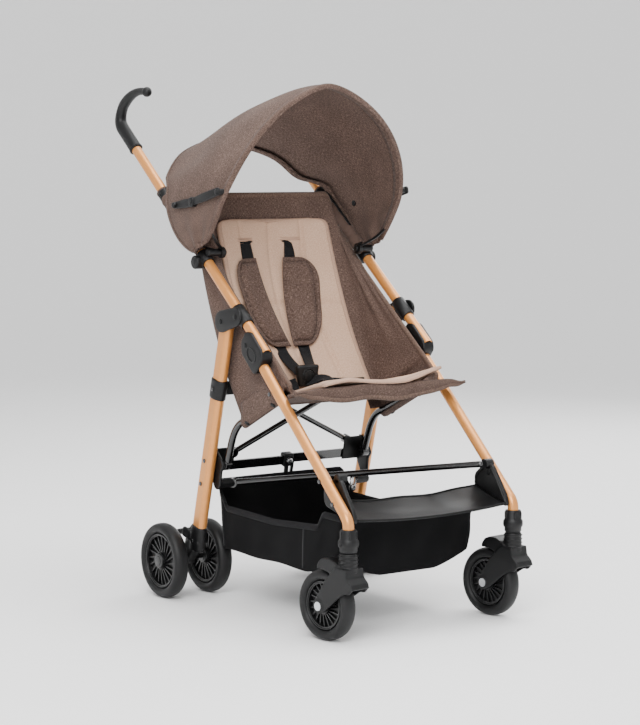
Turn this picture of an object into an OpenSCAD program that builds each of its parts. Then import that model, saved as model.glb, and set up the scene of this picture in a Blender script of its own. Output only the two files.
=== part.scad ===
// Umbrella stroller with twin rear wheels, swivelling front casters and a folding side-to-side frame.
// Units are millimetres. The front faces -Y, +Z is up, and the floor is z = 0.
// Each sub-part is drawn for the +X side; the -X one is its mirror image.

/* [Frame] */
// Distance from the middle of the stroller to the side tubes
frame_x = 188; // [184:1:192]
// Outside diameter of the handle tubes and front legs
tube_d = 20; // [18:0.5:21]
// Wall of the handle tubes and front legs
tube_wall = 1.6; // [1.2:0.1:2.5]
// Height of the top of the front leg above the lower open end of the handle tube
handle_z = 10.4; // [9:0.1:12]
// Distance of that open end in front of the top of the front leg
handle_y = 47.2; // [45:0.1:50]
// Slope of the handle tube above the horizontal, degrees
handle_tilt = 38.8; // [38:0.1:39.5]
// Length of the handle tube
handle_len = 640; // [600:5:660]
// Slope of the front leg above the horizontal, degrees
front_leg_tilt = 43; // [42.5:0.1:43.5]
// Length of the sloping part of the front leg
front_leg_len = 420; // [410:1:430]
// Depth of the oval rear leg, front to back
rear_leg_depth = 34; // [30:1:36]
// Thickness of the oval rear leg, side to side
rear_leg_thick = 20; // [18:1:20]
// Lean of the rear leg from the vertical, degrees
rear_leg_tilt = 14.5; // [14:0.1:15]
// Length of the rear leg below its pivot
rear_leg_len = 465; // [455:1:470]
// Distance of the rear leg pivot along the handle tube from its lower end
pivot_along = 134; // [130:1:138]
// Distance of the rear leg pivot below the handle tube axis
pivot_below = 41; // [39:1:44]

/* [Wheels] */
// Diameter of the front wheels
front_wheel_d = 128; // [124:1:130]
// Diameter of the rear wheels
rear_wheel_d = 146; // [142:1:150]
// Width of every tyre
tyre_w = 24; // [22:1:25]
// Depth of every tyre from tread to rim
tyre_depth = 20; // [16:1:22]
// Distance between the twin rear wheels, centre to centre
twin_gap = 100; // [98:1:104]
// Number of spokes in each wheel
spokes = 20; // [12:1:20]
// Trail of the front wheel behind its swivel axis
caster_trail = 55; // [52:1:58]
// Distance of the rear axle behind the rear leg axis
rear_axle_back = 32; // [28:1:34]
// Diameter of the wheel axles
axle_d = 10; // [8:0.5:11]

/* [Casters] */
// Height of the top of the caster socket
socket_top = 206; // [204:1:208]
// Outside diameter of the caster socket and stem
socket_d = 27; // [26:0.5:28]
// Diameter of the swivel pin
swivel_d = 12; // [10:0.5:13]
// Turn of both casters at rest, degrees
caster_turn = 7.5; // [0:0.5:12]
// Width of the caster fork outside its arms
fork_w = 40; // [39:0.5:42]

/* [Fold bars] */
// Distance from the middle to the pivots of the cross bars
bar_x = 140; // [138:1:141]
// Diameter of the rear cross bars
rear_bar_d = 11; // [10:0.5:11]
// Diameter of the lower cross bars
lower_bar_d = 12; // [10:0.5:12]
// Diameter of the seat tubes
seat_tube_d = 14; // [12:0.5:14]
// Distance from the middle to the seat tubes
seat_tube_x = 163; // [162:0.5:163.5]
// Diameter of the pivot pins of the cross bars
bar_pin_d = 8; // [7:0.5:8.5]

/* [Soft goods] */
// Height of the canopy arch above its pivots
hood_h = 335; // [320:1:345]
// Half width of the canopy
hood_x = 206; // [205:0.5:210]
// Thickness of the canopy cloth
hood_t = 3; // [2:0.5:4]
// Thickness of the seat cloth
seat_t = 4; // [3:0.5:4.5]
// Half width of the beige seat liner
liner_x = 134; // [128:1:138]
// Thickness of the liner at the crown of its channels
liner_t = 12; // [9:0.5:14]
// Thickness of the basket cloth
basket_t = 3; // [2:0.5:4]

/* [Fits] */
// Radial clearance of a running pin in its hole
run = 0.05; // [0.03:0.01:0.1]
// Clearance of a fixed tube in its socket
fit = 0.1; // [0.05:0.05:0.15]

/* [Hidden] */
$fn = 64;

// Colours
COPPER = [0.83, 0.58, 0.33];
CHARCOAL = [0.17, 0.17, 0.18];
GLOSS_BLACK = [0.05, 0.05, 0.06];
STEEL = [0.75, 0.76, 0.78];
MELANGE = [0.40, 0.33, 0.31];
BEIGE = [0.78, 0.68, 0.60];
WEBBING = [0.07, 0.07, 0.08];

// Radii worked out from the diameters
tube_r = tube_d / 2;
front_r = front_wheel_d / 2;
rear_r = rear_wheel_d / 2;
axle_r = axle_d / 2;
swivel_r = swivel_d / 2;
socket_r = socket_d / 2;
bar_pin_r = bar_pin_d / 2;
rear_bar_r = rear_bar_d / 2;
lower_bar_r = lower_bar_d / 2;
seat_tube_r = seat_tube_d / 2;

// Front leg: it starts at the bend above the caster socket
leg_corner_z = socket_top + 14;
leg_stub = 26;
leg_bend = 30;
leg_turn = 90 - front_leg_tilt;
leg_tangent = leg_bend * tan(leg_turn / 2);
elbow_lap = 1;
elbow_swell = 0.2;
bead = 1.06;
leg_dir = [0, cos(front_leg_tilt), sin(front_leg_tilt)];
leg_corner = [frame_x, 0, leg_corner_z];
leg_top = leg_corner + front_leg_len * leg_dir;

// Handle tube, as a start point and a direction in the side plane
handle_dir = [0, cos(handle_tilt), sin(handle_tilt)];
handle_up = [0, -sin(handle_tilt), cos(handle_tilt)];
handle_start = leg_top - [0, handle_y, handle_z];
handle_foot = [handle_start[1], handle_start[2]];
function on_handle(along, above = 0) = handle_start + along * handle_dir + above * handle_up;
tie_on_handle = 102;
clamp_on_handle = 267;
clamp_above = 19;
clamp_len = 26;
clamp_r = tube_r + 4;

// Rear leg frame: origin at the pivot, local z up along the leg, local -y to the front
leg_pivot = on_handle(pivot_along, -pivot_below);
leg_pin_r = 5;
rear_leg_plug = 40;
leg_inner_x = frame_x - rear_leg_thick / 2;
sin_t = sin(rear_leg_tilt);
cos_t = cos(rear_leg_tilt);
axle_local = [0, rear_axle_back, (rear_r - leg_pivot[2] - rear_axle_back * sin_t) / cos_t];
function from_leg(p) = [
  p[0],
  leg_pivot[1] + p[1] * cos_t - p[2] * sin_t,
  leg_pivot[2] + p[1] * sin_t + p[2] * cos_t
];
axle_at = from_leg(axle_local);

// Levels along the rear leg and layers in front of its axis
collar_z = -135;
collar_h = 40;
bracket_top = -252;
bracket_low = -352;
seat_pin_z = -282;
seat_pin_y = -27;
rear_bar_z = -266;
rear_bar_y = 8;
rear_bar_rise = 140;
lock_z = -294;
lower_z = -322;
lower_y = -24;
lower_step = 14;
plate_t = 3;
lug_in = 128;

// Grip: a sleeve on the tube, an elbow, then a long arc that runs forward to a ball end
grip_cover = 40;
grip_past = 55;
grip_r = 13;
arc_r = 107;
arc_thick = 8.5;
arc_from = 28;
arc_turn = 70;
ball_r = 10.5;
grip_end = on_handle(handle_len + grip_past);
arc_mid = grip_end - arc_r * [0, cos(arc_from), sin(arc_from)];

// Caster fork and front wheel, measured from the swivel axis
front_axle_at = [frame_x, caster_trail, front_r];
stem_top = socket_top - 41.5;
stem_low = stem_top - 52;
socket_low = stem_top + 0.5;
pin_top = socket_top - 21;
well_w = tyre_w + 3;
well_r = front_r + 2.5;
tip_y = -31;
arm_r = 14;
arm_side = [0.774, 0.633];
cover_w = 35;
cover_outline = [
  [0, 134], [14, 142], [28, 147], [42, 147], [52, 143], [58, 134], [59, 116], [0, 116]
];
fork_front = [[-10, 90], [-23, 88], [tip_y, 98], [tip_y + 1, 106], [-18, 116], [-14, 136], [3, 138]];
front_eye = [front_axle_at[1], front_axle_at[2]];

// The origin is put under the middle of the outline
back_y = grip_end[1] + grip_r;
front_y = tip_y * cos(caster_turn) - fork_w / 2 * sin(caster_turn);
shift_y = -(back_y + front_y) / 2;

// Helpers
module place() translate([0, shift_y, 0]) children();
module side(right) {
  if (right) children();
  else mirror([1, 0, 0]) children();
}
module rod(a, b, r) {
  v = b - a;
  flat = norm([v[0], v[1]]);
  translate(a) rotate([0, atan2(flat, v[2]), atan2(v[1], v[0])]) cylinder(h = norm(v), r = r);
}
module across(x0, x1, at, r) translate([x0, at[1], at[2]]) rotate([0, 90, 0]) cylinder(h = x1 - x0, r = r);
module plate(x0, x1) translate([x0, 0, 0]) rotate([90, 0, 90]) linear_extrude(x1 - x0) children();
module leg_frame() translate([0, leg_pivot[1], leg_pivot[2]]) rotate([rear_leg_tilt, 0, 0]) children();
module block(lo, hi) translate(lo) cube(hi - lo);
module stadium(x, y) {
  r = x / 2;
  for (s = [-1, 1]) translate([0, s * (y / 2 - r)]) circle(r);
  square([x, y - x], center = true);
}

// A closed sheet between two grids of points of the same size
function grid_faces(rows, cols, base, flip) = [
  for (i = [0 : rows - 2], j = [0 : cols - 2])
    let (a = base + i * cols + j, b = a + 1, c = a + cols, d = c + 1)
    each flip ? [[a, c, b], [b, c, d]] : [[a, b, c], [b, d, c]]
];
function edge_ring(rows, cols) = concat(
  [for (j = [0 : cols - 1]) j],
  [for (i = [1 : rows - 1]) i * cols + cols - 1],
  [for (j = [cols - 2 : -1 : 0]) (rows - 1) * cols + j],
  [for (i = [rows - 2 : -1 : 1]) i * cols]
);
module sheet(outer, inner) {
  rows = len(outer);
  cols = len(outer[0]);
  n = rows * cols;
  ring = edge_ring(rows, cols);
  m = len(ring);
  walls = [
    for (k = [0 : m - 1])
      let (a = ring[k], b = ring[(k + 1) % m])
      each [[a, n + a, b], [b, n + a, n + b]]
  ];
  polyhedron(
    points = concat([for (r = outer) each r], [for (r = inner) each r]),
    faces = concat(grid_faces(rows, cols, 0, false), grid_faces(rows, cols, n, true), walls)
  );
}
// Unit normal of a grid at a point, from its neighbours
function grid_normal(g, i, j) =
  let (
    i0 = max(i - 1, 0), i1 = min(i + 1, len(g) - 1),
    j0 = max(j - 1, 0), j1 = min(j + 1, len(g[0]) - 1),
    c = cross(g[i1][j] - g[i0][j], g[i][j1] - g[i][j0])
  ) c / norm(c);
function pushed(g, t) = [
  for (i = [0 : len(g) - 1]) [for (j = [0 : len(g[0]) - 1]) g[i][j] + t * grid_normal(g, i, j)]
];
module cloth(g, t) sheet(pushed(g, t / 2), pushed(g, -t / 2));

// Side frame
module handle_tube() color(COPPER) difference() {
  rod(on_handle(0), on_handle(handle_len), tube_r);
  rod(on_handle(-1), on_handle(handle_len + 1), tube_r - tube_wall);
}

module grip() color(CHARCOAL) {
  difference() {
    rod(on_handle(handle_len - grip_cover), grip_end, grip_r - 0.3);
    rod(on_handle(handle_len - grip_cover - 1), on_handle(handle_len + fit), tube_r + fit);
  }
  translate(grip_end) sphere(grip_r);
  translate(arc_mid) rotate([90, 0, 90]) rotate([0, 0, arc_from]) {
    rotate_extrude(angle = arc_turn) translate([arc_r, 0]) circle(arc_thick);
    rotate([0, 0, arc_turn]) translate([arc_r, ball_r / 2, 0]) sphere(ball_r);
  }
}

knee_in = 12.5;
knee_at = [30, 5];
knee_below = 30;
knee_past = 140;
module knee_block() color(CHARCOAL) difference() {
  plate(frame_x - knee_in, frame_x + knee_in + 1)
    translate(handle_foot + knee_at) rotate(handle_tilt + 3)
      difference() {
        translate([-38, -30]) square([76, 52]);
        translate([-38, -30]) rotate(45) square(20, center = true);
        translate([38, -30]) rotate(45) square(30, center = true);
        translate([38, 22]) rotate(45) square(24, center = true);
      }
  rod(on_handle(-knee_below), on_handle(knee_past), tube_r + fit);
  rod(leg_corner, leg_top + 40 * leg_dir, tube_r + fit);
}

module front_leg() color(COPPER) difference() {
  union() {
    rod(leg_corner + (leg_tangent - elbow_lap) * leg_dir, leg_top, tube_r);
    rod(leg_corner - [0, 0, leg_tangent - elbow_lap], leg_corner - [0, 0, leg_stub], tube_r);
    translate(leg_corner + [0, leg_bend, -leg_tangent]) rotate([90, 0, 90]) rotate([0, 0, 180]) mirror([0, 1, 0])
      rotate_extrude(angle = leg_turn) translate([leg_bend, 0]) circle(tube_r + elbow_swell);
  }
  rod(leg_corner + 40 * leg_dir, leg_top + leg_dir, tube_r - tube_wall);
}

disc_at = on_handle(clamp_on_handle, -8);
hood_pivot = on_handle(clamp_on_handle - 4, clamp_above);
hood_pin_r = 5;
hood_eye_x = [158, 166];
module canopy_clamp() color(CHARCOAL) difference() {
  union() {
    rod(on_handle(clamp_on_handle - clamp_len / 2), on_handle(clamp_on_handle + clamp_len / 2), clamp_r);
    across(frame_x - 4, frame_x + 22, disc_at, clamp_r - 1);
    across(hood_eye_x[1] + 1, frame_x + 6, hood_pivot, 9);
    across(hood_eye_x[0] - 2, hood_eye_x[1] + 2, hood_pivot, hood_pin_r);
  }
  rod(on_handle(clamp_on_handle - 40), on_handle(clamp_on_handle + 40), tube_r + fit);
}

module caster_socket() color(CHARCOAL) difference() {
  union() {
    rod([frame_x, 0, socket_low], [frame_x, 0, socket_top], socket_r);
    rod([frame_x, 0, socket_top - 27], [frame_x, 0, socket_top - 20], socket_r + 2.5);
  }
  rod([frame_x, 0, leg_corner_z - leg_stub - fit], [frame_x, 0, socket_top + 1], tube_r + fit);
  rod([frame_x, 0, socket_low - 1], [frame_x, 0, pin_top + 1], swivel_r + run);
}

module link_plate() color(CHARCOAL) {
  outer = frame_x + rear_leg_thick / 2 + 1.5;
  tie = on_handle(tie_on_handle);
  difference() {
    union() {
      rod(on_handle(tie_on_handle - 22), on_handle(tie_on_handle + 22), tube_r + 3.5);
      across(outer, outer + 5, tie, 19);
      across(outer, outer + 5, leg_pivot, 18);
      plate(outer, outer + 5) polygon([
        [tie[1] - 8, tie[2] - 17], [tie[1] + 10, tie[2] + 15],
        [leg_pivot[1] + 15, leg_pivot[2] + 8], [leg_pivot[1] - 12, leg_pivot[2] - 12]
      ]);
    }
    rod(on_handle(tie_on_handle - 30), on_handle(tie_on_handle + 30), tube_r + fit);
  }
  across(leg_inner_x - 3, outer + 1, leg_pivot, leg_pin_r);
}

// Footrest bracket: a triangle on the inside of the front leg, with a lug by the lower cross bars
foot_low = [1, 219];
foot_back = [84, 243];
foot_x = 168;
front_bar_at = [51, 288];
module footrest_bracket() color(CHARCOAL) {
  inner = frame_x - tube_r - elbow_swell - fit;
  plate(foot_x, inner) polygon([
    foot_low + [-4, -6], foot_back + [4, -6], foot_back + [8, 20], front_bar_at + [10, 0], foot_low + [2, 14]
  ]);
  across(bar_x + 19, inner, [0, front_bar_at[0], front_bar_at[1]], 9);
}

// Rear legs
module rear_leg() color(COPPER) leg_frame() difference() {
  translate([frame_x, 0, -rear_leg_len]) linear_extrude(rear_leg_len + 14)
    stadium(rear_leg_thick, rear_leg_depth);
  translate([frame_x, 0, -rear_leg_len - 1]) linear_extrude(rear_leg_len - rear_leg_plug + 1)
    stadium(rear_leg_thick - 2 * tube_wall, rear_leg_depth - 2 * tube_wall);
  across(frame_x - 20, frame_x + 20, [0, 0, 0], leg_pin_r + run);
}

module leg_sleeve(z0, h, wall) translate([frame_x, 0, z0]) linear_extrude(h) difference() {
  stadium(rear_leg_thick + 2 * wall, rear_leg_depth + 2 * wall);
  stadium(rear_leg_thick + 2 * fit, rear_leg_depth + 2 * fit);
}

module leg_collar() color(CHARCOAL) leg_frame() {
  leg_sleeve(collar_z - collar_h / 2, collar_h, 3);
  block([lug_in, -plate_t / 2, collar_z - 14], [leg_inner_x - 1.5, plate_t / 2, collar_z + 14]);
}

// Direction of a lower cross bar at rest, in the rear leg frame, for the bar hung on the +X leg
lower_end = [-(bar_x + 10), front_bar_at[0], front_bar_at[1]];
function to_leg(p) =
  let (y = p[1] - leg_pivot[1], z = p[2] - leg_pivot[2])
  [p[0], y * cos_t + z * sin_t, -y * sin_t + z * cos_t];
lower_from = [bar_x, lower_y, lower_z];
lower_span = to_leg(lower_end) - lower_from;
lower_axis = [-lower_span[1], lower_span[0], 0] / norm([lower_span[0], lower_span[1]]);
// The bar hung on the +X leg passes under the other one, one step lower and further forward
function lower_shift(right) = right ? [0, -lower_step, -lower_step] : [0, 0, 0];

eye_w = 14;
eye_r = 9;
module leg_bracket(right) color(CHARCOAL) leg_frame() {
  inner = leg_inner_x - fit;
  shift = lower_shift(right);
  front = right ? 1 : -1;
  pin = lower_from + shift;
  // mounting plate on the leg, and the fin that carries the rear cross bar and the lock bar
  block([inner - 6, -46, bracket_low], [inner, 12, bracket_top]);
  block([lug_in, -plate_t / 2, lock_z - 14], [inner - 3, plate_t / 2, bracket_top]);
  // the boss of the lower cross bar
  block([inner - 24, pin[1] - 16, bracket_low], [inner - 3, pin[1] + 13, pin[2] + 12]);
  rod(pin + 26 * lower_axis, pin - 8 * lower_axis, bar_pin_r);
  // pins
  across(seat_tube_x - seat_tube_r - 3, inner - 3, [0, seat_pin_y, seat_pin_z], bar_pin_r);
  for (z = [rear_bar_z, lock_z])
    rod([bar_x, 0, z], [bar_x, front * 16, z], bar_pin_r);
}

// The axle carrier holds the end of the leg. The pedal's lugs stand on its sleeve, clear above the axle
carrier_h = 26;
carrier_past = 9;
pedal_rise = 50;
pedal_up = 17;
pedal_y = 29;
pedal_z = max(pedal_up - rear_leg_len, axle_local[2] + pedal_rise);
pedal_pin_r = 3;
module rear_axle() color(CHARCOAL) leg_frame() {
  low = -rear_leg_len;
  reach = max(carrier_h, pedal_z + carrier_past - low);
  difference() {
    union() {
      leg_sleeve(low, reach, 2.5);
      plate(frame_x - 12, frame_x + 12) hull() polygon([
        [-18, low], [18, low], [axle_local[1] + 13, axle_local[2] + 8],
        [axle_local[1] + 13, axle_local[2] - 10], [axle_local[1] - 13, axle_local[2] - 10]
      ]);
    }
    across(frame_x - 13, frame_x + 13, axle_local, axle_r - 1);
    translate([frame_x, 0, low]) linear_extrude(rear_leg_len)
      stadium(rear_leg_thick + 2 * fit, rear_leg_depth + 2 * fit);
  }
  across(frame_x - twin_gap / 2 - tyre_w / 2 - 2, frame_x + twin_gap / 2 + tyre_w / 2 + 2, axle_local, axle_r);
  for (s = [-1, 1]) translate([frame_x + s * 14.5, 0, 0]) {
    block([-3.5, 4, pedal_z - 10], [3.5, pedal_y + 5, pedal_z + 10]);
  }
  across(frame_x - 17, frame_x + 17, [0, pedal_y, pedal_z], pedal_pin_r);
}

module brake_pedal() color(CHARCOAL) leg_frame() difference() {
  union() {
    across(frame_x - 10, frame_x + 10, [0, pedal_y, pedal_z], 6.5);
    block([frame_x - 9, pedal_y, pedal_z - 5], [frame_x + 9, pedal_y + 45, pedal_z + 1]);
    block([frame_x - 20, pedal_y + 30, pedal_z - 5], [frame_x + 20, pedal_y + 58, pedal_z + 2]);
  }
  across(frame_x - 30, frame_x + 30, [0, pedal_y, pedal_z], pedal_pin_r + run);
}

// Bars of the fold
seat_path = [[0, seat_pin_y, seat_pin_z], [0, -36, -198], [0, -88, -164], [0, -182, -84]];
module seat_tube() color(GLOSS_BLACK) leg_frame() translate([seat_tube_x, 0, 0]) difference() {
  union() {
    for (i = [0 : len(seat_path) - 2]) rod(seat_path[i], seat_path[i + 1], seat_tube_r);
    for (i = [1 : len(seat_path) - 1]) translate(seat_path[i]) sphere(seat_tube_r * bead);
    across(-seat_tube_r, seat_tube_r, seat_path[0], eye_r);
  }
  across(-20, 20, seat_path[0], bar_pin_r + run);
}

eye_half = rear_bar_r + 0.5;
module rear_cross_bar(right) color(GLOSS_BLACK) leg_frame() {
  layer = (right ? 1 : -1) * rear_bar_y;
  at = [bar_x, layer, rear_bar_z];
  end = [-bar_x, layer, rear_bar_z + rear_bar_rise];
  difference() {
    union() {
      rod(at, end, rear_bar_r);
      rod(at - [0, eye_half, 0], at + [0, eye_half, 0], eye_r);
      translate(end) sphere(rear_bar_r * bead);
    }
    rod(at - [0, 20, 0], at + [0, 20, 0], bar_pin_r + run);
  }
}

module lower_cross_bar(right) color(GLOSS_BLACK) leg_frame() translate(lower_shift(right)) {
  end = lower_from + lower_span;
  difference() {
    union() {
      rod(lower_from, end, lower_bar_r);
      rod(lower_from - eye_w / 2 * lower_axis, lower_from + eye_w / 2 * lower_axis, eye_r);
      translate(end) sphere(lower_bar_r * bead);
    }
    rod(lower_from - 20 * lower_axis, lower_from + 20 * lower_axis, bar_pin_r + run);
  }
}

lock_h = 18;
lock_t = 4;
lock_gap = 2;
lock_past = 4;
module lock_bar(right) color(GLOSS_BLACK) leg_frame() {
  front = right ? 1 : -1;
  y0 = right ? lock_gap : -lock_gap - lock_t;
  difference() {
    union() {
      block([-lock_past, y0, lock_z - lock_h / 2], [bar_x, y0 + lock_t, lock_z + lock_h / 2]);
      rod([bar_x, y0, lock_z], [bar_x, y0 + lock_t, lock_z], lock_h / 2);
      if (!right) {
        rod([0, y0 + 1, lock_z], [0, y0 - 5, lock_z], 7);
        block([-10, y0, lock_z - 26], [-4, y0 + lock_t, lock_z]);
      }
    }
    rod([bar_x, y0 - 1, lock_z], [bar_x, y0 + lock_t + 1, lock_z], bar_pin_r + run);
  }
}

// Casters and wheels
module caster_fork() color(CHARCOAL) {
  difference() {
    union() {
      rod([frame_x, 0, stem_low], [frame_x, 0, stem_top], socket_r - 0.5);
      for (k = [1 : 3])
        rod([frame_x, 0, stem_top - 9 * k], [frame_x, 0, stem_top - 9 * k + 4], socket_r + 1);
      rod([frame_x, 0, stem_top - 2], [frame_x, 0, pin_top], swivel_r);
      plate(frame_x - fork_w / 2, frame_x + fork_w / 2)
        polygon(concat(fork_front, [front_eye + arm_r * arm_side, front_eye - arm_r * arm_side]));
      across(frame_x - fork_w / 2, frame_x + fork_w / 2, front_axle_at, arm_r);
      plate(frame_x - cover_w / 2, frame_x + cover_w / 2) polygon(cover_outline);
    }
    across(frame_x - well_w / 2, frame_x + well_w / 2, front_axle_at, well_r);
    across(frame_x - fork_w, frame_x + fork_w, front_axle_at, axle_r + run);
  }
}

module front_axle() color(STEEL) {
  across(frame_x - fork_w / 2 - 1, frame_x + fork_w / 2 + 1, front_axle_at, axle_r);
  for (x = [frame_x - fork_w / 2 - 4, frame_x + fork_w / 2 + fit])
    across(x, x + 4 - fit, front_axle_at, axle_r + 3);
}

// A wheel is drawn around the X axis at its own centre
rim_edge = 5;
hub_r = 16;
module rim(wheel_r) color(GLOSS_BLACK) rotate([90, 0, 90]) {
  out_r = wheel_r - tyre_depth;
  rotate_extrude() translate([out_r - rim_edge, -tyre_w / 2 + 3]) square([rim_edge, tyre_w - 6]);
  rotate_extrude() translate([axle_r + run, -tyre_w / 2 + 1]) square([hub_r - axle_r - run, tyre_w - 2]);
  linear_extrude(tyre_w - 12, center = true)
    for (k = [0 : spokes - 1]) rotate(k * 360 / spokes)
      translate([hub_r - 2, 4]) rotate(-10) square([out_r - rim_edge - hub_r + 5, 2.2]);
}

tread_r = 17;
module tyre(wheel_r) color(CHARCOAL) rotate([90, 0, 90]) rotate_extrude() intersection() {
  translate([wheel_r - tyre_depth + fit / 2, -tyre_w / 2]) square([tyre_depth, tyre_w]);
  translate([wheel_r - tread_r, 0]) circle(tread_r);
}

module front_wheel_place() translate(front_axle_at) children();
module caster(right) {
  swivel = [right ? frame_x : -frame_x, 0, 0];
  translate(swivel) rotate([0, 0, caster_turn]) translate(-swivel) side(right) children();
}
module rear_wheel_place(outer)
  translate([frame_x + (outer ? 1 : -1) * twin_gap / 2, axle_at[1], axle_at[2]]) children();

// Canopy: arches that fan out from the pivots on the handle tubes
arch_low = 24;
arch_bend = 110;
arch_steps = 16;
foot_steps = 4;
hood_low_x = frame_x + clamp_r + hood_t / 2 + 1;
arch_right = [for (k = [0 : foot_steps - 1])
  let (f = k / foot_steps)
  [hood_low_x + (hood_x - hood_low_x) * f, arch_low + f * (arch_bend - arch_low)]];
arch_top = [for (k = [0 : arch_steps])
  let (a = 180 * k / arch_steps, c = cos(a))
  [hood_x * sign(c) * pow(abs(c), 1.3), arch_bend + (hood_h - arch_bend) * pow(sin(a), 1.05)]];
arch = concat(
  arch_right, arch_top,
  [for (k = [foot_steps - 1 : -1 : 0]) [-arch_right[k][0], arch_right[k][1]]]
);
front_lean = 22.5;
front_flare = 24;
rear_lean = 44;
rear_flare = 52;
function front_angle(h) = -front_lean - front_flare * (1 - h / hood_h);
function rear_angle(h) = rear_lean + rear_flare * max(0, 1 - h / 190);
function hood_point(p, a, grow = 0) = [
  p[0] * (1 + grow / hood_x),
  hood_pivot[1] + (p[1] + grow) * sin(a),
  hood_pivot[2] + (p[1] + grow) * cos(a)
];
across_steps = 6;
hood_grid = [for (p = arch)
  let (a = hood_point(p, front_angle(p[1]), 3), b = hood_point(p, rear_angle(p[1]), 3))
  [for (k = [0 : across_steps]) a + (b - a) * k / across_steps]];
module canopy_cloth() color(MELANGE) cloth(hood_grid, hood_t);

// A bow is a flat strip under each edge of the cloth, on arms that run down to the pivots
bow_w = 12;
bow_t = 2.5;
bow_in = 4;
arm_out = [-4, -1, 14];
arm_up = [7, 40, 90];
arm_path = [for (k = [0 : 2]) [hood_eye_x[1] + arm_out[k], arm_up[k]]];
bow_path = concat(
  arm_path,
  [for (p = arch) if (p[1] > arch_bend) [p[0] * (1 - bow_in / hood_x), p[1] - bow_in]],
  [for (k = [len(arm_path) - 1 : -1 : 0]) [-arm_path[k][0], arm_path[k][1]]]
);
module bow(front) {
  g = [for (p = bow_path)
    let (
      a = hood_point(p, front_angle(p[1])), b = hood_point(p, rear_lean),
      e = (b - a) / norm(b - a), from = front ? a + 2 * e : b - (2 + bow_w) * e
    ) [from, from + bow_w * e]];
  cloth(g, bow_t);
}
module canopy_bows() color(GLOSS_BLACK) difference() {
  union() {
    bow(true);
    bow(false);
    for (s = [-1, 1]) translate([s * (hood_eye_x[0] + hood_eye_x[1]) / 2, 0, 0])
      across(-4, 4, hood_pivot, hood_pin_r + 6);
  }
  across(-frame_x, frame_x, hood_pivot, hood_pin_r + 0.3);
}

// Stays: two links with a knuckle on each side of the canopy
stay_h = [118, 97, 140];
stay_a = [41, 6.5, -31];
stay_x = hood_x + 7;
function arch_x(h) =
  let (f = pow(max(0, (h - arch_bend) / (hood_h - arch_bend)), 1 / 1.05))
  (hood_x + 3) * pow(1 - f * f, 0.65);
module canopy_stays() color(CHARCOAL) for (right = [false, true]) side(right) {
  at = [for (k = [0 : 2])
    [0, hood_pivot[1] + stay_h[k] * sin(stay_a[k]), hood_pivot[2] + stay_h[k] * cos(stay_a[k])]];
  for (k = [0, 1]) hull() for (j = [k, k + 1])
    across(stay_x + 4 * k, stay_x + 4 * k + 4, at[j], 8, $fn = 24);
  across(stay_x, stay_x + 10, at[1], 9);
  for (k = [0, 2]) across(arch_x(stay_h[k]) + hood_t / 2 + 0.3, stay_x + 4, at[k], 5);
}

// Seat: a sling whose base wraps under the seat tubes, with a hollowed back and walls up to the handle tubes
function mix(a, b, f) = a + (b - a) * f;
seat_front = handle_foot + [-108, -59];
seat_rear = handle_foot + [114, -110];
back_top = handle_foot + [285, 291];
panel_x = 146;
flap_x = 195;
back_sag = 60;
wrap_r = seat_tube_r + seat_t / 2 + 2.6;
tube_front = from_leg(seat_path[3]);
tube_rear = from_leg(seat_path[2]);
function tube_z(y) = mix(tube_front[2], tube_rear[2], (y - tube_front[1]) / (tube_rear[1] - tube_front[1]));
// Rows of the base from the front edge to the rear
base_step = [0, 28, 53, 83, 120, 157, 194, 214];
base_y = [for (d = base_step) seat_front[0] + d];
flap_rows = 2;
function base_z(i) =
  let (f = (base_y[i] - seat_front[0]) / (seat_rear[0] - seat_front[0]))
  mix(seat_front[1], seat_rear[1], f);
// Place on the base or the back: x across, i the row of the base, v the way up the back
function on_base(x, i) = [x, base_y[i], base_z(i)];
function on_panel(x, v) = [
  x,
  mix(seat_rear[0], back_top[0], v) + back_sag * sin(180 * v) * max(0, 1 - pow(x / panel_x, 2)),
  mix(seat_rear[1], back_top[1], v)
];
// Top edge of the side wall: up from the front corner, then along the inside of the handle tube
wall_x = frame_x - tube_r - 8;
edge_front = handle_foot + [-64, -62];
edge_knee = handle_foot + [-10, -15];
edge_top = handle_foot + [262, 203];
back_steps = 12;
panel_cols = 6;
wall_cols = 5;
hem_drop = 26;
hem_in = 7;
function edge_at(i) = mix(edge_front, edge_knee, (i - flap_rows) / (len(base_y) - flap_rows));
function flap_wall(i) = [for (k = [1 : wall_cols])
  [mix(panel_x, i < flap_rows ? flap_x : wall_x, k / wall_cols), base_y[i], base_z(i) - 1 * k]];
// The wall rises over the seat tube, then leans out to its edge
function base_wall(i) =
  let (z = base_z(i), t = tube_z(base_y[i]), e = edge_at(i))
  concat(
    [[152, base_y[i], max(z, t + 7)], [160, base_y[i], max(z + 1, t + 13)]],
    [[wall_x, base_y[i], max(z + 4, t + 13)]],
    [[wall_x, mix(base_y[i], e[0], 0.5), mix(max(z + 4, t + 13), e[1], 0.5)], [wall_x, e[0], e[1]]]
  );
function back_wall(v) =
  let (p = on_panel(panel_x, v), e = mix(edge_knee, edge_top, v))
  [for (k = [1 : wall_cols])
    let (f = k / wall_cols)
    [mix(panel_x, wall_x, pow(f, 0.6)), mix(p[1], e[0], f), mix(p[2], e[1], f)]];
function both_sides(half) = concat(
  [for (k = [len(half) - 1 : -1 : 1]) [-half[k][0], half[k][1], half[k][2]]],
  half
);
function base_row(i) = both_sides(concat(
  [for (k = [0 : panel_cols]) on_base(panel_x * k / panel_cols, i)],
  i <= flap_rows ? flap_wall(i) : base_wall(i)));
hem_row = [for (p = base_row(0)) p + [0, hem_in, -hem_drop * (1 - pow(abs(p[0]) / flap_x, 3)) - 3]];
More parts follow.
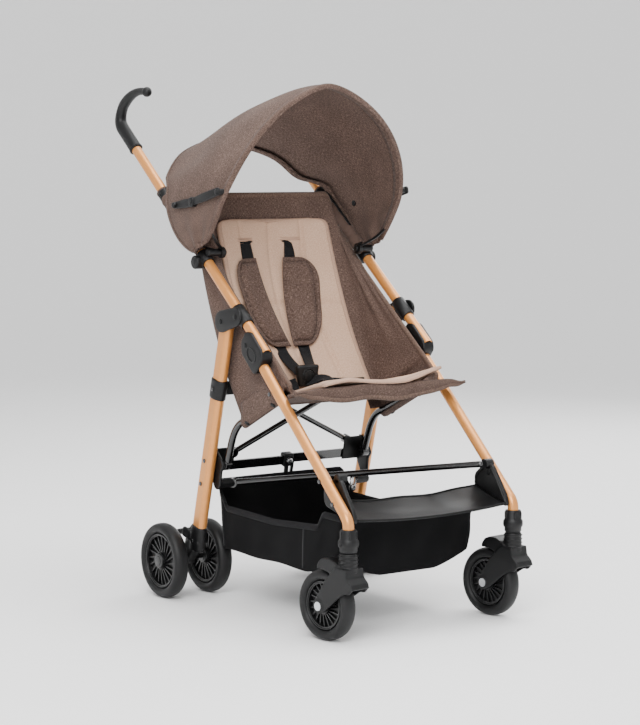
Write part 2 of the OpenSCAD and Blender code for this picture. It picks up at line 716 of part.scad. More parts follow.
seat_grid = concat(
  [hem_row],
  [for (i = [0 : len(base_y) - 1]) base_row(i)],
  [for (k = [0 : back_steps]) let (v = k / back_steps) both_sides(concat(
    [for (j = [0 : panel_cols]) on_panel(panel_x * j / panel_cols, v)],
    back_wall(v)))]
);
// A skirt on each side hangs from the wall and wraps under the seat tube
skirt_step = [74, 98, 128, 158, 188, 210];
skirt_y = [for (d = skirt_step) seat_front[0] + d];
skirt_turn = [0, -45, -90, -150];
skirt_up = 23;
skirt_t = seat_t - 2.2;
skirt_grid = [for (y = skirt_y)
  let (z = tube_z(y))
  concat(
    [[wall_x - 0.5, y + 3, z + skirt_up]],
    [for (a = skirt_turn) [seat_tube_x + wrap_r * cos(a), y, z + wrap_r * sin(a)]]
  )];
module seat_cloth() color(MELANGE) {
  cloth(seat_grid, seat_t);
  for (right = [false, true]) side(right) cloth(skirt_grid, skirt_t);
}

// Liner: a quilted pad on the seat cloth, with sewn channels, whose front edge lifts off in a wave
channels = 4;
liner_cols = 16;
liner_lift = seat_t / 2 + 1;
liner_over = 6;
liner_rows = concat([0.04], [for (k = [1 : 10]) k / back_steps], [0.87]);
function lip_wave(u) = 8 * sin(396 * u + 18) + 16 * u * u;
lip_rows = [1, 0.6, 0.25];
liner_base = concat(
  [for (i = [0 : len(base_y) - 1]) [for (k = [0 : liner_cols])
    let (u = k / liner_cols)
    on_base(mix(-liner_x, liner_x, u), i)
      + [0, i == 0 ? -liner_over : 0, i < len(lip_rows) ? lip_rows[i] * max(0, lip_wave(u)) : 0]]],
  [for (v = liner_rows) [for (k = [0 : liner_cols]) on_panel(mix(-liner_x, liner_x, k / liner_cols), v)]]
);
function quilt(i, j) =
  let (
    u = j / liner_cols, v = i / (len(liner_base) - 1),
    edge = min(1, 6 * u, 6 * (1 - u), 8 * v, 8 * (1 - v))
  ) liner_lift + 3 + (liner_t - 3) * sqrt(edge) * (0.7 + 0.3 * abs(sin(180 * channels * u)));
module seat_liner() color(BEIGE) {
  top = [for (i = [0 : len(liner_base) - 1]) [for (j = [0 : liner_cols])
    liner_base[i][j] - quilt(i, j) * grid_normal(liner_base, i, j)]];
  sheet(pushed(liner_base, -liner_lift), top);
}

// Directions on the back of the seat, for what lies on the liner
back_dir = (back_top - seat_rear) / norm(back_top - seat_rear);
back_out = [-back_dir[1], back_dir[0]];
function off_panel(x, v, out) = on_panel(x, v) + [0, out * back_out[0], out * back_out[1]];

// Shoulder pads: D shapes with a straight inner edge and a crown
pad_out = liner_lift + liner_t + 3.5;
pad_t = 13;
pad_low = 0.24;
pad_high = 0.66;
pad_rows = 12;
pad_cols = 8;
pad_in = [5, 32];
pad_wide = [40, 88];
pad_lean = 6;
function pad_inner(u) = mix(pad_in[0], pad_in[1], u);
function pad_outer(u) = mix(pad_wide[0], pad_wide[1], pow(sin(180 * mix(0.08, 0.9, u)), 0.7)) + pad_lean * u;
function pad_point(u, w, out) =
  off_panel(mix(pad_inner(u), pad_outer(u), w), mix(pad_low, pad_high, u), pad_out + out);
function pad_crown(u, w) = pow(max(0, min(1, 4 * u, 4 * (1 - u), 4 * w, 4 * (1 - w))), 0.5);
module shoulder_pads() color(MELANGE) for (right = [false, true]) side(right) sheet(
  [for (i = [0 : pad_rows]) [for (j = [0 : pad_cols]) pad_point(i / pad_rows, j / pad_cols, 0)]],
  [for (i = [0 : pad_rows]) [for (j = [0 : pad_cols])
    let (u = i / pad_rows, w = j / pad_cols)
    pad_point(u, w, 2 + (pad_t - 2) * pad_crown(u, w))]]
);

// Harness: shoulder straps from the slots of the liner, lap straps and a crotch strap, all to the buckle
strap_t = 2;
strap_w = 11;
strap_out = liner_lift + liner_t + strap_t / 2 + 0.6;
slot_v = 0.74;
buckle_at = [0, seat_rear[0], seat_rear[1] + 66];
buckle_r = 7;
module buckle_shape(grow) hull() for (x = [-20, 20], up = [-14, 14])
  translate(buckle_at + [x, 0, up]) sphere(buckle_r + grow, $fn = 20);
module buckle() color(CHARCOAL) buckle_shape(0);
// A flat band along a row of points, with the vector that its width runs along
module band(path, wide) cloth([for (p = path) [p - wide, p + wide]], strap_t);
strap_low = pad_low - 0.03;
strap_x = 51;
shoulder_band = concat(
  [for (k = [0 : 7]) [for (x = [strap_x - strap_w, strap_x, strap_x + strap_w])
    off_panel(x, mix(slot_v, strap_low, k / 7), strap_out)]],
  [[for (x = [4, 16, 28]) buckle_at + [x, 0, 8]]]
);
lap_path = [off_panel(116, 0.19, strap_out + 5), off_panel(90, 0.16, strap_out + 5), buckle_at + [22, 0, -6]];
crotch_path = [
  on_base(0, 5) + [0, 0, strap_out + 2], on_base(0, 5) + [0, 30, strap_out + 16], buckle_at - [0, 0, 12]
];
module harness() color(WEBBING) difference() {
  union() {
    for (right = [false, true]) side(right) {
      cloth(shoulder_band, strap_t);
      band(lap_path, [0, 0, strap_w]);
    }
    band(crotch_path, [strap_w, 0, 0]);
  }
  buckle_shape(0.3);
}

// Footrest: a vinyl band between the two brackets
foot_t = 3;
foot_sag = 8;
foot_grid = [for (i = [0 : 4]) [for (j = [0 : 12])
  let (u = j / 12, p = mix(foot_low, foot_back, i / 4))
  [mix(-foot_x + 0.5, foot_x - 0.5, u), p[0], p[1] - foot_sag * 4 * u * (1 - u)]]];
module footrest() color(WEBBING) cloth(foot_grid, foot_t);

// Basket: an open cloth bin under the seat, low at the sides and high at the rear, on straps to the rear legs
basket_front = [70, 214];
rear_leg_by = from_leg([0, 0, lower_z]);
basket_rear = [rear_leg_by[1] + 19.3, rear_leg_by[2] - 4.3];
basket_floor = [[78, 96], [basket_rear[0] - 12, 94]];
basket_lift = 46;
basket_tuck = 60;
basket_belly = 82;
basket_top_x = 148;
basket_low_x = 146;
basket_hem = [[130, 214], [150, 188], [290, 180], basket_rear + [-28, -48], basket_rear + [-12, -18]];
basket_round = 14;
module bin(d, lift) hull() {
  r = basket_round - d;
  for (s = [-1, 1]) {
    for (p = [basket_front + [r + d, lift], basket_rear + [-r - d, lift]])
      translate([s * (basket_top_x - r - d), p[0], p[1]]) cylinder(h = 3, r = r, $fn = 24);
    // the front corners of the floor are lifted and tucked in, clear of the turning casters
    for (p = [
      [basket_low_x, basket_floor[0] + [4, basket_lift]], [basket_low_x - basket_tuck, basket_floor[0]],
      [basket_low_x, [basket_floor[0][0] + 2 * basket_tuck, basket_floor[0][1]]],
      [basket_low_x, basket_floor[1] - [2 * (r + d), 0]]
    ]) translate([s * (p[0] - r - d), p[1][0] + r + d, p[1][1] + r + d]) sphere(r, $fn = 24);
    for (y = [220, basket_rear[0] - 120]) translate([s * 60, y, basket_belly + r + d]) sphere(r, $fn = 24);
  }
}
module basket() color(WEBBING) difference() {
  union() {
    difference() {
      bin(0, 0);
      bin(basket_t, 4);
    }
    for (s = [0, 1]) mirror([s, 0, 0])
      block([basket_top_x - 4, basket_rear[0] - 18, basket_rear[1] - 10],
        [leg_inner_x - fit - 6 - 0.3, basket_rear[0] - 6, basket_rear[1] - 7]);
  }
  plate(-frame_x, frame_x) polygon(concat(
    [[0, basket_rear[1] + 70], [0, basket_front[1] + 1]], [basket_front + [12, 1]], basket_hem,
    [basket_rear + [-6, 1], basket_rear + [60, 1], basket_rear + [60, 70]]
  ));
}

// One line per node
place() side(false) handle_tube();  // left_handle_tube
place() side(false) grip();  // left_grip
place() side(false) knee_block();  // left_knee_block
place() side(false) front_leg();  // left_front_leg
place() side(false) canopy_clamp();  // left_canopy_clamp
place() side(false) caster_socket();  // left_caster_socket
place() side(false) link_plate();  // left_link_plate
place() side(false) footrest_bracket();  // left_footrest_bracket
place() side(true) handle_tube();  // right_handle_tube
place() side(true) grip();  // right_grip
place() side(true) knee_block();  // right_knee_block
place() side(true) front_leg();  // right_front_leg
place() side(true) canopy_clamp();  // right_canopy_clamp
place() side(true) caster_socket();  // right_caster_socket
place() side(true) link_plate();  // right_link_plate
place() side(true) footrest_bracket();  // right_footrest_bracket
place() side(false) rear_leg();  // left_rear_leg
place() side(false) leg_collar();  // left_leg_collar
place() side(false) leg_bracket(false);  // left_leg_bracket
place() side(false) rear_axle();  // left_rear_axle
place() side(false) brake_pedal();  // left_brake_pedal
place() side(true) rear_leg();  // right_rear_leg
place() side(true) leg_collar();  // right_leg_collar
place() side(true) leg_bracket(true);  // right_leg_bracket
place() side(true) rear_axle();  // right_rear_axle
place() side(true) brake_pedal();  // right_brake_pedal
place() side(false) seat_tube();  // left_seat_tube
place() side(true) seat_tube();  // right_seat_tube
place() side(false) rear_cross_bar(false);  // left_rear_cross_bar
place() side(true) rear_cross_bar(true);  // right_rear_cross_bar
place() side(false) lower_cross_bar(false);  // left_lower_cross_bar
place() side(true) lower_cross_bar(true);  // right_lower_cross_bar
place() side(false) lock_bar(false);  // left_lock_bar
place() side(true) lock_bar(true);  // right_lock_bar
place() caster(false) caster_fork();  // left_caster_fork
place() caster(false) front_axle();  // left_front_axle
place() caster(false) front_wheel_place() rim(front_r);  // left_front_rim
place() caster(false) front_wheel_place() tyre(front_r);  // left_front_tyre
place() caster(true) caster_fork();  // right_caster_fork
place() caster(true) front_axle();  // right_front_axle
place() caster(true) front_wheel_place() rim(front_r);  // right_front_rim
place() caster(true) front_wheel_place() tyre(front_r);  // right_front_tyre
place() side(false) rear_wheel_place(true) rim(rear_r);  // left_outer_rim
place() side(false) rear_wheel_place(true) tyre(rear_r);  // left_outer_tyre
place() side(false) rear_wheel_place(false) rim(rear_r);  // left_inner_rim
place() side(false) rear_wheel_place(false) tyre(rear_r);  // left_inner_tyre
place() side(true) rear_wheel_place(true) rim(rear_r);  // right_outer_rim
place() side(true) rear_wheel_place(true) tyre(rear_r);  // right_outer_tyre
place() side(true) rear_wheel_place(false) rim(rear_r);  // right_inner_rim
place() side(true) rear_wheel_place(false) tyre(rear_r);  // right_inner_tyre
place() canopy_cloth();
place() canopy_bows();
place() canopy_stays();
place() seat_cloth();
place() seat_liner();
place() shoulder_pads();
place() harness();
place() buckle();
place() footrest();
place() basket();
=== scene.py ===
# %% [markdown]
# # Dressing an umbrella stroller
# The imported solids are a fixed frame. This lesson puts finishes on the tubes, bars and rims, and models the
# cloth, the padding, the mouldings and the small fittings as new pieces that ride on the frame's bodies.

# %% Load the frame
import math
import bmesh
import bpy
from mathutils import Matrix, Vector


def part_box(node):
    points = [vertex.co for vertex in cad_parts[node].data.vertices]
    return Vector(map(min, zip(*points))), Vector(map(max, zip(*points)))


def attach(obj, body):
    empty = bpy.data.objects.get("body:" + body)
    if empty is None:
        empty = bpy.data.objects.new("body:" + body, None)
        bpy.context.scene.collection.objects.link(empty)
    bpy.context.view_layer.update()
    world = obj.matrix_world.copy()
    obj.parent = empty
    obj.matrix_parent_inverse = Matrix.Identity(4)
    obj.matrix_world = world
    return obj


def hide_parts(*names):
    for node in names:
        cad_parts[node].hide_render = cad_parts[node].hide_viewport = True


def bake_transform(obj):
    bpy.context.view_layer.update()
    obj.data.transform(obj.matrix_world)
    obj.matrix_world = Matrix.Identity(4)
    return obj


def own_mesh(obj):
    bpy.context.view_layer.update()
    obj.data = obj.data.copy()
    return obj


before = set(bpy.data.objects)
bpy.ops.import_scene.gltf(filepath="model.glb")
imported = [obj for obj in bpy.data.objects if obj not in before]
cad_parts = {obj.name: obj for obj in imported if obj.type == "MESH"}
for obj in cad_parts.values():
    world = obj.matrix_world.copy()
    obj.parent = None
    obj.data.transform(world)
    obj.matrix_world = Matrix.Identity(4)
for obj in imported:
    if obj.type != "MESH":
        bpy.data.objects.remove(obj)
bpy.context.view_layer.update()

# %% [markdown]
# The drawing of the stroller measures in millimetres, with y counted back from the upright axis that the
# front wheels swivel on. One function turns a drawing point into metres in the frame. The swivel axis is read
# from the caster socket, so the pieces stay in place if the frame is packed again.

# %% From the drawing to the frame
MM = 0.001
socket_low, socket_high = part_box("left_caster_socket")
SWIVEL_Y = (socket_low.y + socket_high.y) / 2 / MM


def at(x, y, z):
    return Vector((x, y + SWIVEL_Y, z)) * MM


def mix(a, b, f):
    return a + (b - a) * f


def clamp(x, low=0.0, high=1.0):
    return max(low, min(high, x))


def smooth(x):
    x = clamp(x)
    return x * x * (3 - 2 * x)


print("swivel axis at y =", round(SWIVEL_Y, 2), "mm")

# %% [markdown]
# ## Camera
# The picture was taken from the front left, a little above the seat, with a long lens. The angles and the
# lens were worked out from pairs of points that mirror each other across the stroller.

# %% Camera
VIEW_TURN, VIEW_RISE = math.radians(-35.0), math.radians(5.301)
eye = at(-2322.9, -2961.9, 838.4)
level = math.cos(VIEW_RISE)
back = Vector((math.sin(VIEW_TURN) * level, -math.cos(VIEW_TURN) * level, math.sin(VIEW_RISE)))
camera_data = bpy.data.cameras.new("camera")
camera_data.sensor_width = 36
camera_data.lens = 104.7
camera_data.clip_end = 50
camera = bpy.data.objects.new("camera", camera_data)
camera.location = eye
camera.rotation_mode = "QUATERNION"
camera.rotation_quaternion = (-back).to_track_quat("-Z", "Y")
bpy.context.scene.collection.objects.link(camera)
bpy.context.scene.camera = camera
print("camera at", tuple(round(x, 3) for x in eye))

# %% [markdown]
# ## Light and floor
# A white studio gives soft light from everywhere, with a large soft box from the left and above. The floor is
# a round sheet of paper that curves up far behind the object on all sides, so no horizon shows. It is a
# profile spun about the upright axis.

# %% Light and floor


def hue(code):
    """An sRGB hex code as a linear colour."""
    parts = [int(code[i:i + 2], 16) / 255 for i in (1, 3, 5)]
    return tuple(c / 12.92 if c <= 0.04045 else ((c + 0.055) / 1.055) ** 2.4 for c in parts) + (1.0,)


def add(tree, kind, inputs=None, **settings):
    """Adds a node with its settings, and sets or links its inputs."""
    made = tree.nodes.new(kind)
    for name, value in settings.items():
        setattr(made, name, value)
    for name, value in (inputs or {}).items():
        if isinstance(value, bpy.types.NodeSocket):
            tree.links.new(value, made.inputs[name])
        else:
            made.inputs[name].default_value = value
    return made


world = bpy.data.worlds.new("studio")
bpy.context.scene.world = world
world.use_nodes = True
world.node_tree.nodes["Background"].inputs["Color"].default_value = (1, 1, 1, 1)
world.node_tree.nodes["Background"].inputs["Strength"].default_value = 0.85

for name, place, target, size, power in (
    ("key", (-2.2, -2.4, 2.6), (0, 0, 0.5), 2.0, 150),
    ("top", (0.4, -0.3, 3.2), (0, 0, 0.4), 2.4, 120),
    ("rim", (2.6, 1.2, 1.8), (0, 0, 0.5), 1.6, 40),
):
    lamp_data = bpy.data.lights.new(name, "AREA")
    lamp_data.size = size
    lamp_data.energy = power
    lamp = bpy.data.objects.new(name, lamp_data)
    lamp.location = place
    lamp.rotation_mode = "QUATERNION"
    lamp.rotation_quaternion = (Vector(target) - Vector(place)).to_track_quat("-Z", "Y")
    bpy.context.scene.collection.objects.link(lamp)

floor_form = bmesh.new()
COVE_R, COVE_BEND, COVE_TOP = 4.5, 2.5, 6.0
bend = [math.radians(a) for a in range(15, 91, 15)]
profile = [(0.0, 0.0), (COVE_R, 0.0)]
profile += [(COVE_R + COVE_BEND * math.sin(a), COVE_BEND - COVE_BEND * math.cos(a)) for a in bend]
profile.append((COVE_R + COVE_BEND, COVE_TOP))
rim = [floor_form.verts.new((r, 0, z)) for r, z in profile]
edges = [floor_form.edges.new(pair) for pair in zip(rim, rim[1:])]
bmesh.ops.spin(floor_form, geom=rim + edges, cent=(0, 0, 0), axis=(0, 0, 1), angle=2 * math.pi, steps=48,
               use_merge=True)
bmesh.ops.remove_doubles(floor_form, verts=floor_form.verts, dist=1e-4)
bmesh.ops.recalc_face_normals(floor_form, faces=floor_form.faces)
floor_mesh = bpy.data.meshes.new("floor")
floor_form.to_mesh(floor_mesh)
floor_form.free()
floor_mesh.shade_smooth()
floor = bpy.data.objects.new("floor", floor_mesh)
bpy.context.scene.collection.objects.link(floor)
paper = bpy.data.materials.new("matte white paper")
paper.use_nodes = True
paper.node_tree.nodes["Principled BSDF"].inputs["Base Color"].default_value = hue("#fafafa")
paper.node_tree.nodes["Principled BSDF"].inputs["Roughness"].default_value = 0.9
floor_mesh.materials.append(paper)
print("studio ready")

# %% [markdown]
# ## Finishes
# Each finish is named for the real material. The starting point of all of them is one Principled shader whose
# constant values sit on its own sockets. A pattern in Object coordinates is used on hard parts, and the
# piece's own UV map, laid out in metres, on cloth, so that a weave follows the folds.

# %% A shader to start from
finishes = {}


def start(name, colour, roughness, metallic=0.0, **more):
    made = bpy.data.materials.new(name)
    made.use_nodes = True
    tree = made.node_tree
    shader = tree.nodes["Principled BSDF"]
    values = {"Base Color": hue(colour), "Roughness": roughness, "Metallic": metallic, **more}
    for socket, value in values.items():
        shader.inputs[socket].default_value = value
    finishes[name] = made
    return tree, shader


def grained(name, colour, roughness, size_mm, depth, rough, colours=None, metallic=0.0, detail=3.0,
            lay="Object", **more):
    """A finish whose noise, of a size in millimetres, drives bump, roughness and, where given, colour."""
    tree, shader = start(name, colour, roughness, metallic, **more)
    speck = add(tree, "ShaderNodeTexNoise", {"Vector": add(tree, "ShaderNodeTexCoord").outputs[lay],
                                             "Scale": 1 / (size_mm * MM), "Detail": detail})
    bump = add(tree, "ShaderNodeBump", {"Height": speck.outputs["Fac"], "Strength": depth,
                                        "Distance": 0.4 * MM})
    tree.links.new(bump.outputs["Normal"], shader.inputs["Normal"])
    spread = add(tree, "ShaderNodeMapRange", {
        "Value": speck.outputs["Fac"], "To Min": rough[0], "To Max": rough[1]})
    tree.links.new(spread.outputs["Result"], shader.inputs["Roughness"])
    if colours:
        tint = add(tree, "ShaderNodeMix", {"Factor": speck.outputs["Fac"]}, data_type="RGBA")
        tint.inputs["A"].default_value, tint.inputs["B"].default_value = hue(colours[0]), hue(colours[1])
        tree.links.new(tint.outputs["Result"], shader.inputs["Base Color"])


# %% [markdown]
# The hard finishes. The tubes are aluminium under a satin copper paint, which shows a broad soft highlight
# and a faint orange peel. The mouldings are glass-filled nylon with a spark-eroded skin, matte and nearly
# black. The folding bars are steel under gloss black powder coat. The wheels have polypropylene rims and
# closed-cell foam tyres.

# %% Hard finishes
grained("satin copper paint", "#cf8a48", 0.32, 9, 0.03, (0.30, 0.40), ("#ca8443", "#d5924f"), 0.45, 2.0,
        **{"Coat Weight": 0.15, "Coat Roughness": 0.2})
# The real skin has a grit of about 0.2 mm, drawn at 0.9 mm so that it shows
grained("moulded nylon", "#0b0b0c", 0.46, 0.9, 0.25, (0.38, 0.54), ("#080809", "#0e0e0f"),
        **{"Specular IOR Level": 0.3})
grained("black powder coat", "#0b0b0c", 0.2, 3.5, 0.05, (0.16, 0.26),
        **{"Coat Weight": 0.6, "Coat Roughness": 0.08})
grained("zinc plated steel", "#c9cbce", 0.24, 1.5, 0.05, (0.18, 0.34), ("#bfc1c4", "#d4d6d8"), 1.0)
grained("polypropylene rim", "#0c0c0d", 0.42, 2.0, 0.06, (0.30, 0.44))
grained("foam tyre", "#0c0c0d", 0.5, 1.4, 0.2, (0.42, 0.62), ("#0a0a0b", "#101011"),
        **{"Specular IOR Level": 0.32})
print("hard finishes:", ", ".join(finishes))

# %% [markdown]
# The cloths. The seat and canopy are a melange polyester: dyed threads of three browns, crossed in a plain
# weave. Long thin noise in both directions gives the threads, and a slow one lets the tone drift. The thread
# spacing is about 0.5 mm on the real cloth, drawn at 1.5 mm so that the flecks show in the picture.

# %% Woven cloths


def woven(name, dark, middle, light, thread_mm, streak_mm, roughness, depth, sheen):
    tree, shader = start(name, middle, roughness, **{
        "Sheen Weight": sheen, "Sheen Roughness": 0.5, "Specular IOR Level": 0.12})
    lay = add(tree, "ShaderNodeTexCoord").outputs["UV"]
    runs = []
    for across, along in ((thread_mm, streak_mm), (streak_mm, thread_mm)):
        sized = add(tree, "ShaderNodeMapping", {
            "Vector": lay, "Scale": (1 / (across * MM), 1 / (along * MM), 1.0)})
        runs.append(add(tree, "ShaderNodeTexNoise", {
            "Vector": sized.outputs["Vector"], "Scale": 1.0, "Detail": 2.0, "Roughness": 0.6}).outputs["Fac"])
    crossed = add(tree, "ShaderNodeMath", operation="ADD")
    tree.links.new(runs[0], crossed.inputs[0])
    tree.links.new(runs[1], crossed.inputs[1])
    drift = add(tree, "ShaderNodeTexNoise", {"Vector": lay, "Scale": 1 / 0.06, "Detail": 2.0})
    sway = add(tree, "ShaderNodeMath", {0: drift.outputs["Fac"], 1: 0.25, 2: crossed.outputs["Value"]},
               operation="MULTIPLY_ADD")
    tone = add(tree, "ShaderNodeMapRange", {"Value": sway.outputs["Value"], "From Min": 0.72,
                                            "From Max": 1.52})
    ramp = add(tree, "ShaderNodeValToRGB", {"Fac": tone.outputs["Result"]})
    stops = ramp.color_ramp.elements
    stops[0].color, stops[1].color = hue(dark), hue(light)
    stops.new(0.5).color = hue(middle)
    tree.links.new(ramp.outputs["Color"], shader.inputs["Base Color"])
    bump = add(tree, "ShaderNodeBump", {
        "Height": crossed.outputs["Value"], "Strength": depth, "Distance": 0.8 * MM})
    tree.links.new(bump.outputs["Normal"], shader.inputs["Normal"])


woven("melange polyester", "#2e231f", "#53433c", "#806b61", 1.5, 5.0, 0.95, 0.5, 0.04)
woven("melange binding", "#3c2f28", "#5e4c43", "#846f64", 1.1, 3.5, 0.92, 0.5, 0.05)
woven("beige air mesh", "#ab8971", "#bc9b84", "#caad98", 1.6, 3.0, 0.95, 0.3, 0.08)
woven("beige binding", "#98796a", "#a98a76", "#b99b87", 1.5, 3.0, 0.95, 0.35, 0.08)
woven("black basket cloth", "#050506", "#09090a", "#131315", 1.4, 2.8, 0.9, 0.5, 0.02)
woven("black hem tape", "#0a0a0b", "#121214", "#1e1e20", 1.3, 2.6, 0.85, 0.5, 0.05)
woven("black webbing", "#09090a", "#111113", "#1e1e21", 2.2, 1.2, 0.6, 0.6, 0.05)

grained("black vinyl", "#0a0a0b", 0.42, 2.6, 0.3, (0.30, 0.46), ("#090909", "#0e0e0f"), lay="UV",
        **{"Specular IOR Level": 0.18})
print("cloths:", ", ".join(list(finishes)[6:]))

# %% [markdown]
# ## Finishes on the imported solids
# Most tubes, the bars, the axles and the rims already have the right shape, so they stay and only get a
# finish. Their meshes are left as they are.

# %% Finish the solids that stay
NODE_FINISH = {
    "handle_tube": "satin copper paint", "front_leg": "satin copper paint", "rear_leg": "satin copper paint",
    "rear_cross_bar": "black powder coat", "lower_cross_bar": "black powder coat",
    "lock_bar": "black powder coat",
    "front_axle": "zinc plated steel",
    "front_rim": "polypropylene rim", "outer_rim": "polypropylene rim",
    "inner_rim": "polypropylene rim",
}
for name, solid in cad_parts.items():
    kind = name.split("_", 1)[1] if name.startswith(("left_", "right_")) else name
    solid.data.materials.clear()
    solid.data.materials.append(finishes[NODE_FINISH.get(kind, "moulded nylon")])
print("finished", len(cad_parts), "solids")

# %% [markdown]
# ## Tools for new pieces
# A few helpers are shared by all new pieces: one makes an object from a bmesh, one sweeps a round section
# along a line of points, one cuts a plate from an outline and rounds its edges, and one turns a disc such as
# a rivet head.

# %% Tools
SIDES = (("left", -1), ("right", 1))


def piece(name, form, finish, body=None, smooth_edges=40):
    """Makes an object from a bmesh, smooth up to an angle, which rides on a body if one is named."""
    bmesh.ops.recalc_face_normals(form, faces=form.faces)
    mesh = bpy.data.meshes.new(name)
    form.to_mesh(mesh)
    form.free()
    mesh.shade_smooth()
    mesh.set_sharp_from_angle(angle=math.radians(smooth_edges))
    mesh.materials.append(finishes[finish])
    made = bpy.data.objects.new(name, mesh)
    bpy.context.scene.collection.objects.link(made)
    if body:
        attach(made, body)
    return made


def fitting(name, form, body, finish="moulded nylon", node=None):
    """A hard piece that rides on a body, and replaces a solid if one is named."""
    made = piece(name, form, finish, body)
    if node:
        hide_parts(node)
    return made


def frame_along(line):
    """A direction and two cross directions at each point of a line, turned as little as possible."""
    out, side = [], None
    for i, p in enumerate(line):
        ahead = (line[min(i + 1, len(line) - 1)] - line[max(i - 1, 0)]).normalized()
        if side is None:
            side = ahead.orthogonal().normalized()
        side = (side - ahead * side.dot(ahead)).normalized()
        out.append((ahead, side, ahead.cross(side)))
    return out


def sweep(form, line, radius, segments=16, flat=1.0, sideways=None):
    """A round or flattened section along a line: a circle extruded from point to point. Radius in mm."""
    radii = radius if isinstance(radius, (list, tuple)) else [radius] * len(line)
    ring = None
    for i, (p, (ahead, side, up)) in enumerate(zip(line, frame_along(line))):
        if sideways is not None:
            side = (sideways - ahead * sideways.dot(ahead)).normalized()
            up = ahead.cross(side)
        turn = Matrix((side, up, ahead)).transposed()
        if ring is None:
            made = bmesh.ops.create_circle(form, cap_ends=False, segments=segments, radius=1.0)
            ring = made["verts"]
            base = [v.co.copy() for v in ring]
            first = list(ring)
            edges = list({e for v in ring for e in v.link_edges})
        else:
            grown = bmesh.ops.extrude_edge_only(form, edges=edges)["geom"]
            new = [g for g in grown if isinstance(g, bmesh.types.BMVert)]
            edges = [g for g in grown if isinstance(g, bmesh.types.BMEdge)]
            pairs = {}
            for v in new:
                for e in v.link_edges:
                    other = e.other_vert(v)
                    if other in index:
                        pairs[index[other]] = v
            ring = [pairs[k] for k in range(segments)]
        index = {v: k for k, v in enumerate(ring)}
        r = radii[i] * MM
        for k, v in enumerate(ring):
            v.co = p + turn @ Vector((base[k].x * r, base[k].y * r * flat, 0))
    bmesh.ops.contextual_create(form, geom=first)
    bmesh.ops.contextual_create(form, geom=ring)


def soften(form, geom, width, segments, affect="EDGES"):
    """Rounds edges or corners by a width in millimetres."""
    bmesh.ops.bevel(form, geom=geom, offset=width * MM, offset_type="OFFSET", affect=affect,
                    segments=segments, profile=0.5, clamp_overlap=True, material=-1)


def plate(form, outline, x0, x1, edge=1.5, corner=0.0, segments=3):
    """A plate between two x values, cut to an outline of drawing points (y, z), with round corners."""
    work = bmesh.new()
    rim = [work.verts.new(at(x0, y, z)) for y, z in outline]
    face = work.faces.new(rim)
    if corner:
        soften(work, rim, corner, 6, "VERTICES")
        face = max(work.faces, key=lambda f: f.calc_area())
    grown = bmesh.ops.extrude_face_region(work, geom=[face])["geom"]
    bmesh.ops.translate(work, verts=[g for g in grown if isinstance(g, bmesh.types.BMVert)],
                        vec=Vector(((x1 - x0) * MM, 0, 0)))
    bmesh.ops.recalc_face_normals(work, faces=work.faces)
    caps = [f for f in work.faces if abs(f.normal.x) > 0.99]
    edges = list({e for f in caps for e in f.edges})
    soften(work, edges, edge, segments)
    merge(form, work)


def merge(form, other):
    """Copies one bmesh into another."""
    mesh = bpy.data.meshes.new("part")
    other.to_mesh(mesh)
    other.free()
    form.from_mesh(mesh)
    bpy.data.meshes.remove(mesh)


def disc(form, middle, axis, radius, height, edge=0.0, segments=28):
    """A turned disc that stands on a point, along an axis, with a round upper edge. Sizes in mm."""
    radius, height = radius * MM, height * MM
    work = bmesh.new()
    bmesh.ops.create_cone(work, cap_ends=True, segments=segments, radius1=radius, radius2=radius,
                          depth=height)
    bmesh.ops.translate(work, verts=work.verts, vec=Vector((0, 0, height / 2)))
    if edge:
        rim = [e for e in work.edges if all(v.co.z > height * 0.9 for v in e.verts)]
        soften(work, rim, edge, 3)
    turn = Vector(axis).to_track_quat("Z", "Y").to_matrix().to_4x4()
    bmesh.ops.transform(work, matrix=Matrix.Translation(middle) @ turn, verts=work.verts)
    merge(form, work)


def ring(form, middle, axis, radius, thick, segments=40, stretch=1.0, along=None):
    """A torus: a small circle spun about an axis. Sizes in mm."""
    radius, thick = radius * MM, thick * MM
    work = bmesh.new()
    bmesh.ops.create_circle(work, cap_ends=False, segments=10, radius=thick)
    bmesh.ops.rotate(work, verts=work.verts, cent=(0, 0, 0), matrix=Matrix.Rotation(math.pi / 2, 3, "X"))
    bmesh.ops.translate(work, verts=work.verts, vec=Vector((radius, 0, 0)))
    bmesh.ops.spin(work, geom=work.edges[:] + work.verts[:], cent=(0, 0, 0), axis=(0, 0, 1),
                   angle=2 * math.pi, steps=segments, use_merge=True)
    bmesh.ops.scale(work, verts=work.verts, vec=Vector((stretch, 1, 1)))
    if along is None:
        turn = Vector(axis).to_track_quat("Z", "Y").to_matrix().to_4x4()
    else:
        z = Vector(axis).normalized()
        x = (Vector(along) - z * z.dot(Vector(along))).normalized()
        turn = Matrix((x, z.cross(x), z)).transposed().to_4x4()
    bmesh.ops.transform(work, matrix=Matrix.Translation(middle) @ turn, verts=work.verts)
    merge(form, work)


def curve_through(points, steps=8):
    """Points of a smooth line through some given points."""
    p = [points[0] * 2 - points[1]] + list(points) + [points[-1] * 2 - points[-2]]
    out = []
    for i in range(1, len(p) - 2):
        for k in range(steps):
            t = k / steps
            out.append(0.5 * (2 * p[i] + (p[i + 1] - p[i - 1]) * t
                              + (2 * p[i - 1] - 5 * p[i] + 4 * p[i + 1] - p[i + 2]) * t * t
                              + (3 * p[i] - p[i - 1] - 3 * p[i + 1] + p[i + 2]) * t ** 3))
    return out + [points[-1]]


print("tools ready")

# %% [markdown]
# ## Side frame
# The handle tube rises backwards at just under forty degrees, and the rear leg hangs from a plate on it. A
# point on either is found from a distance along it.

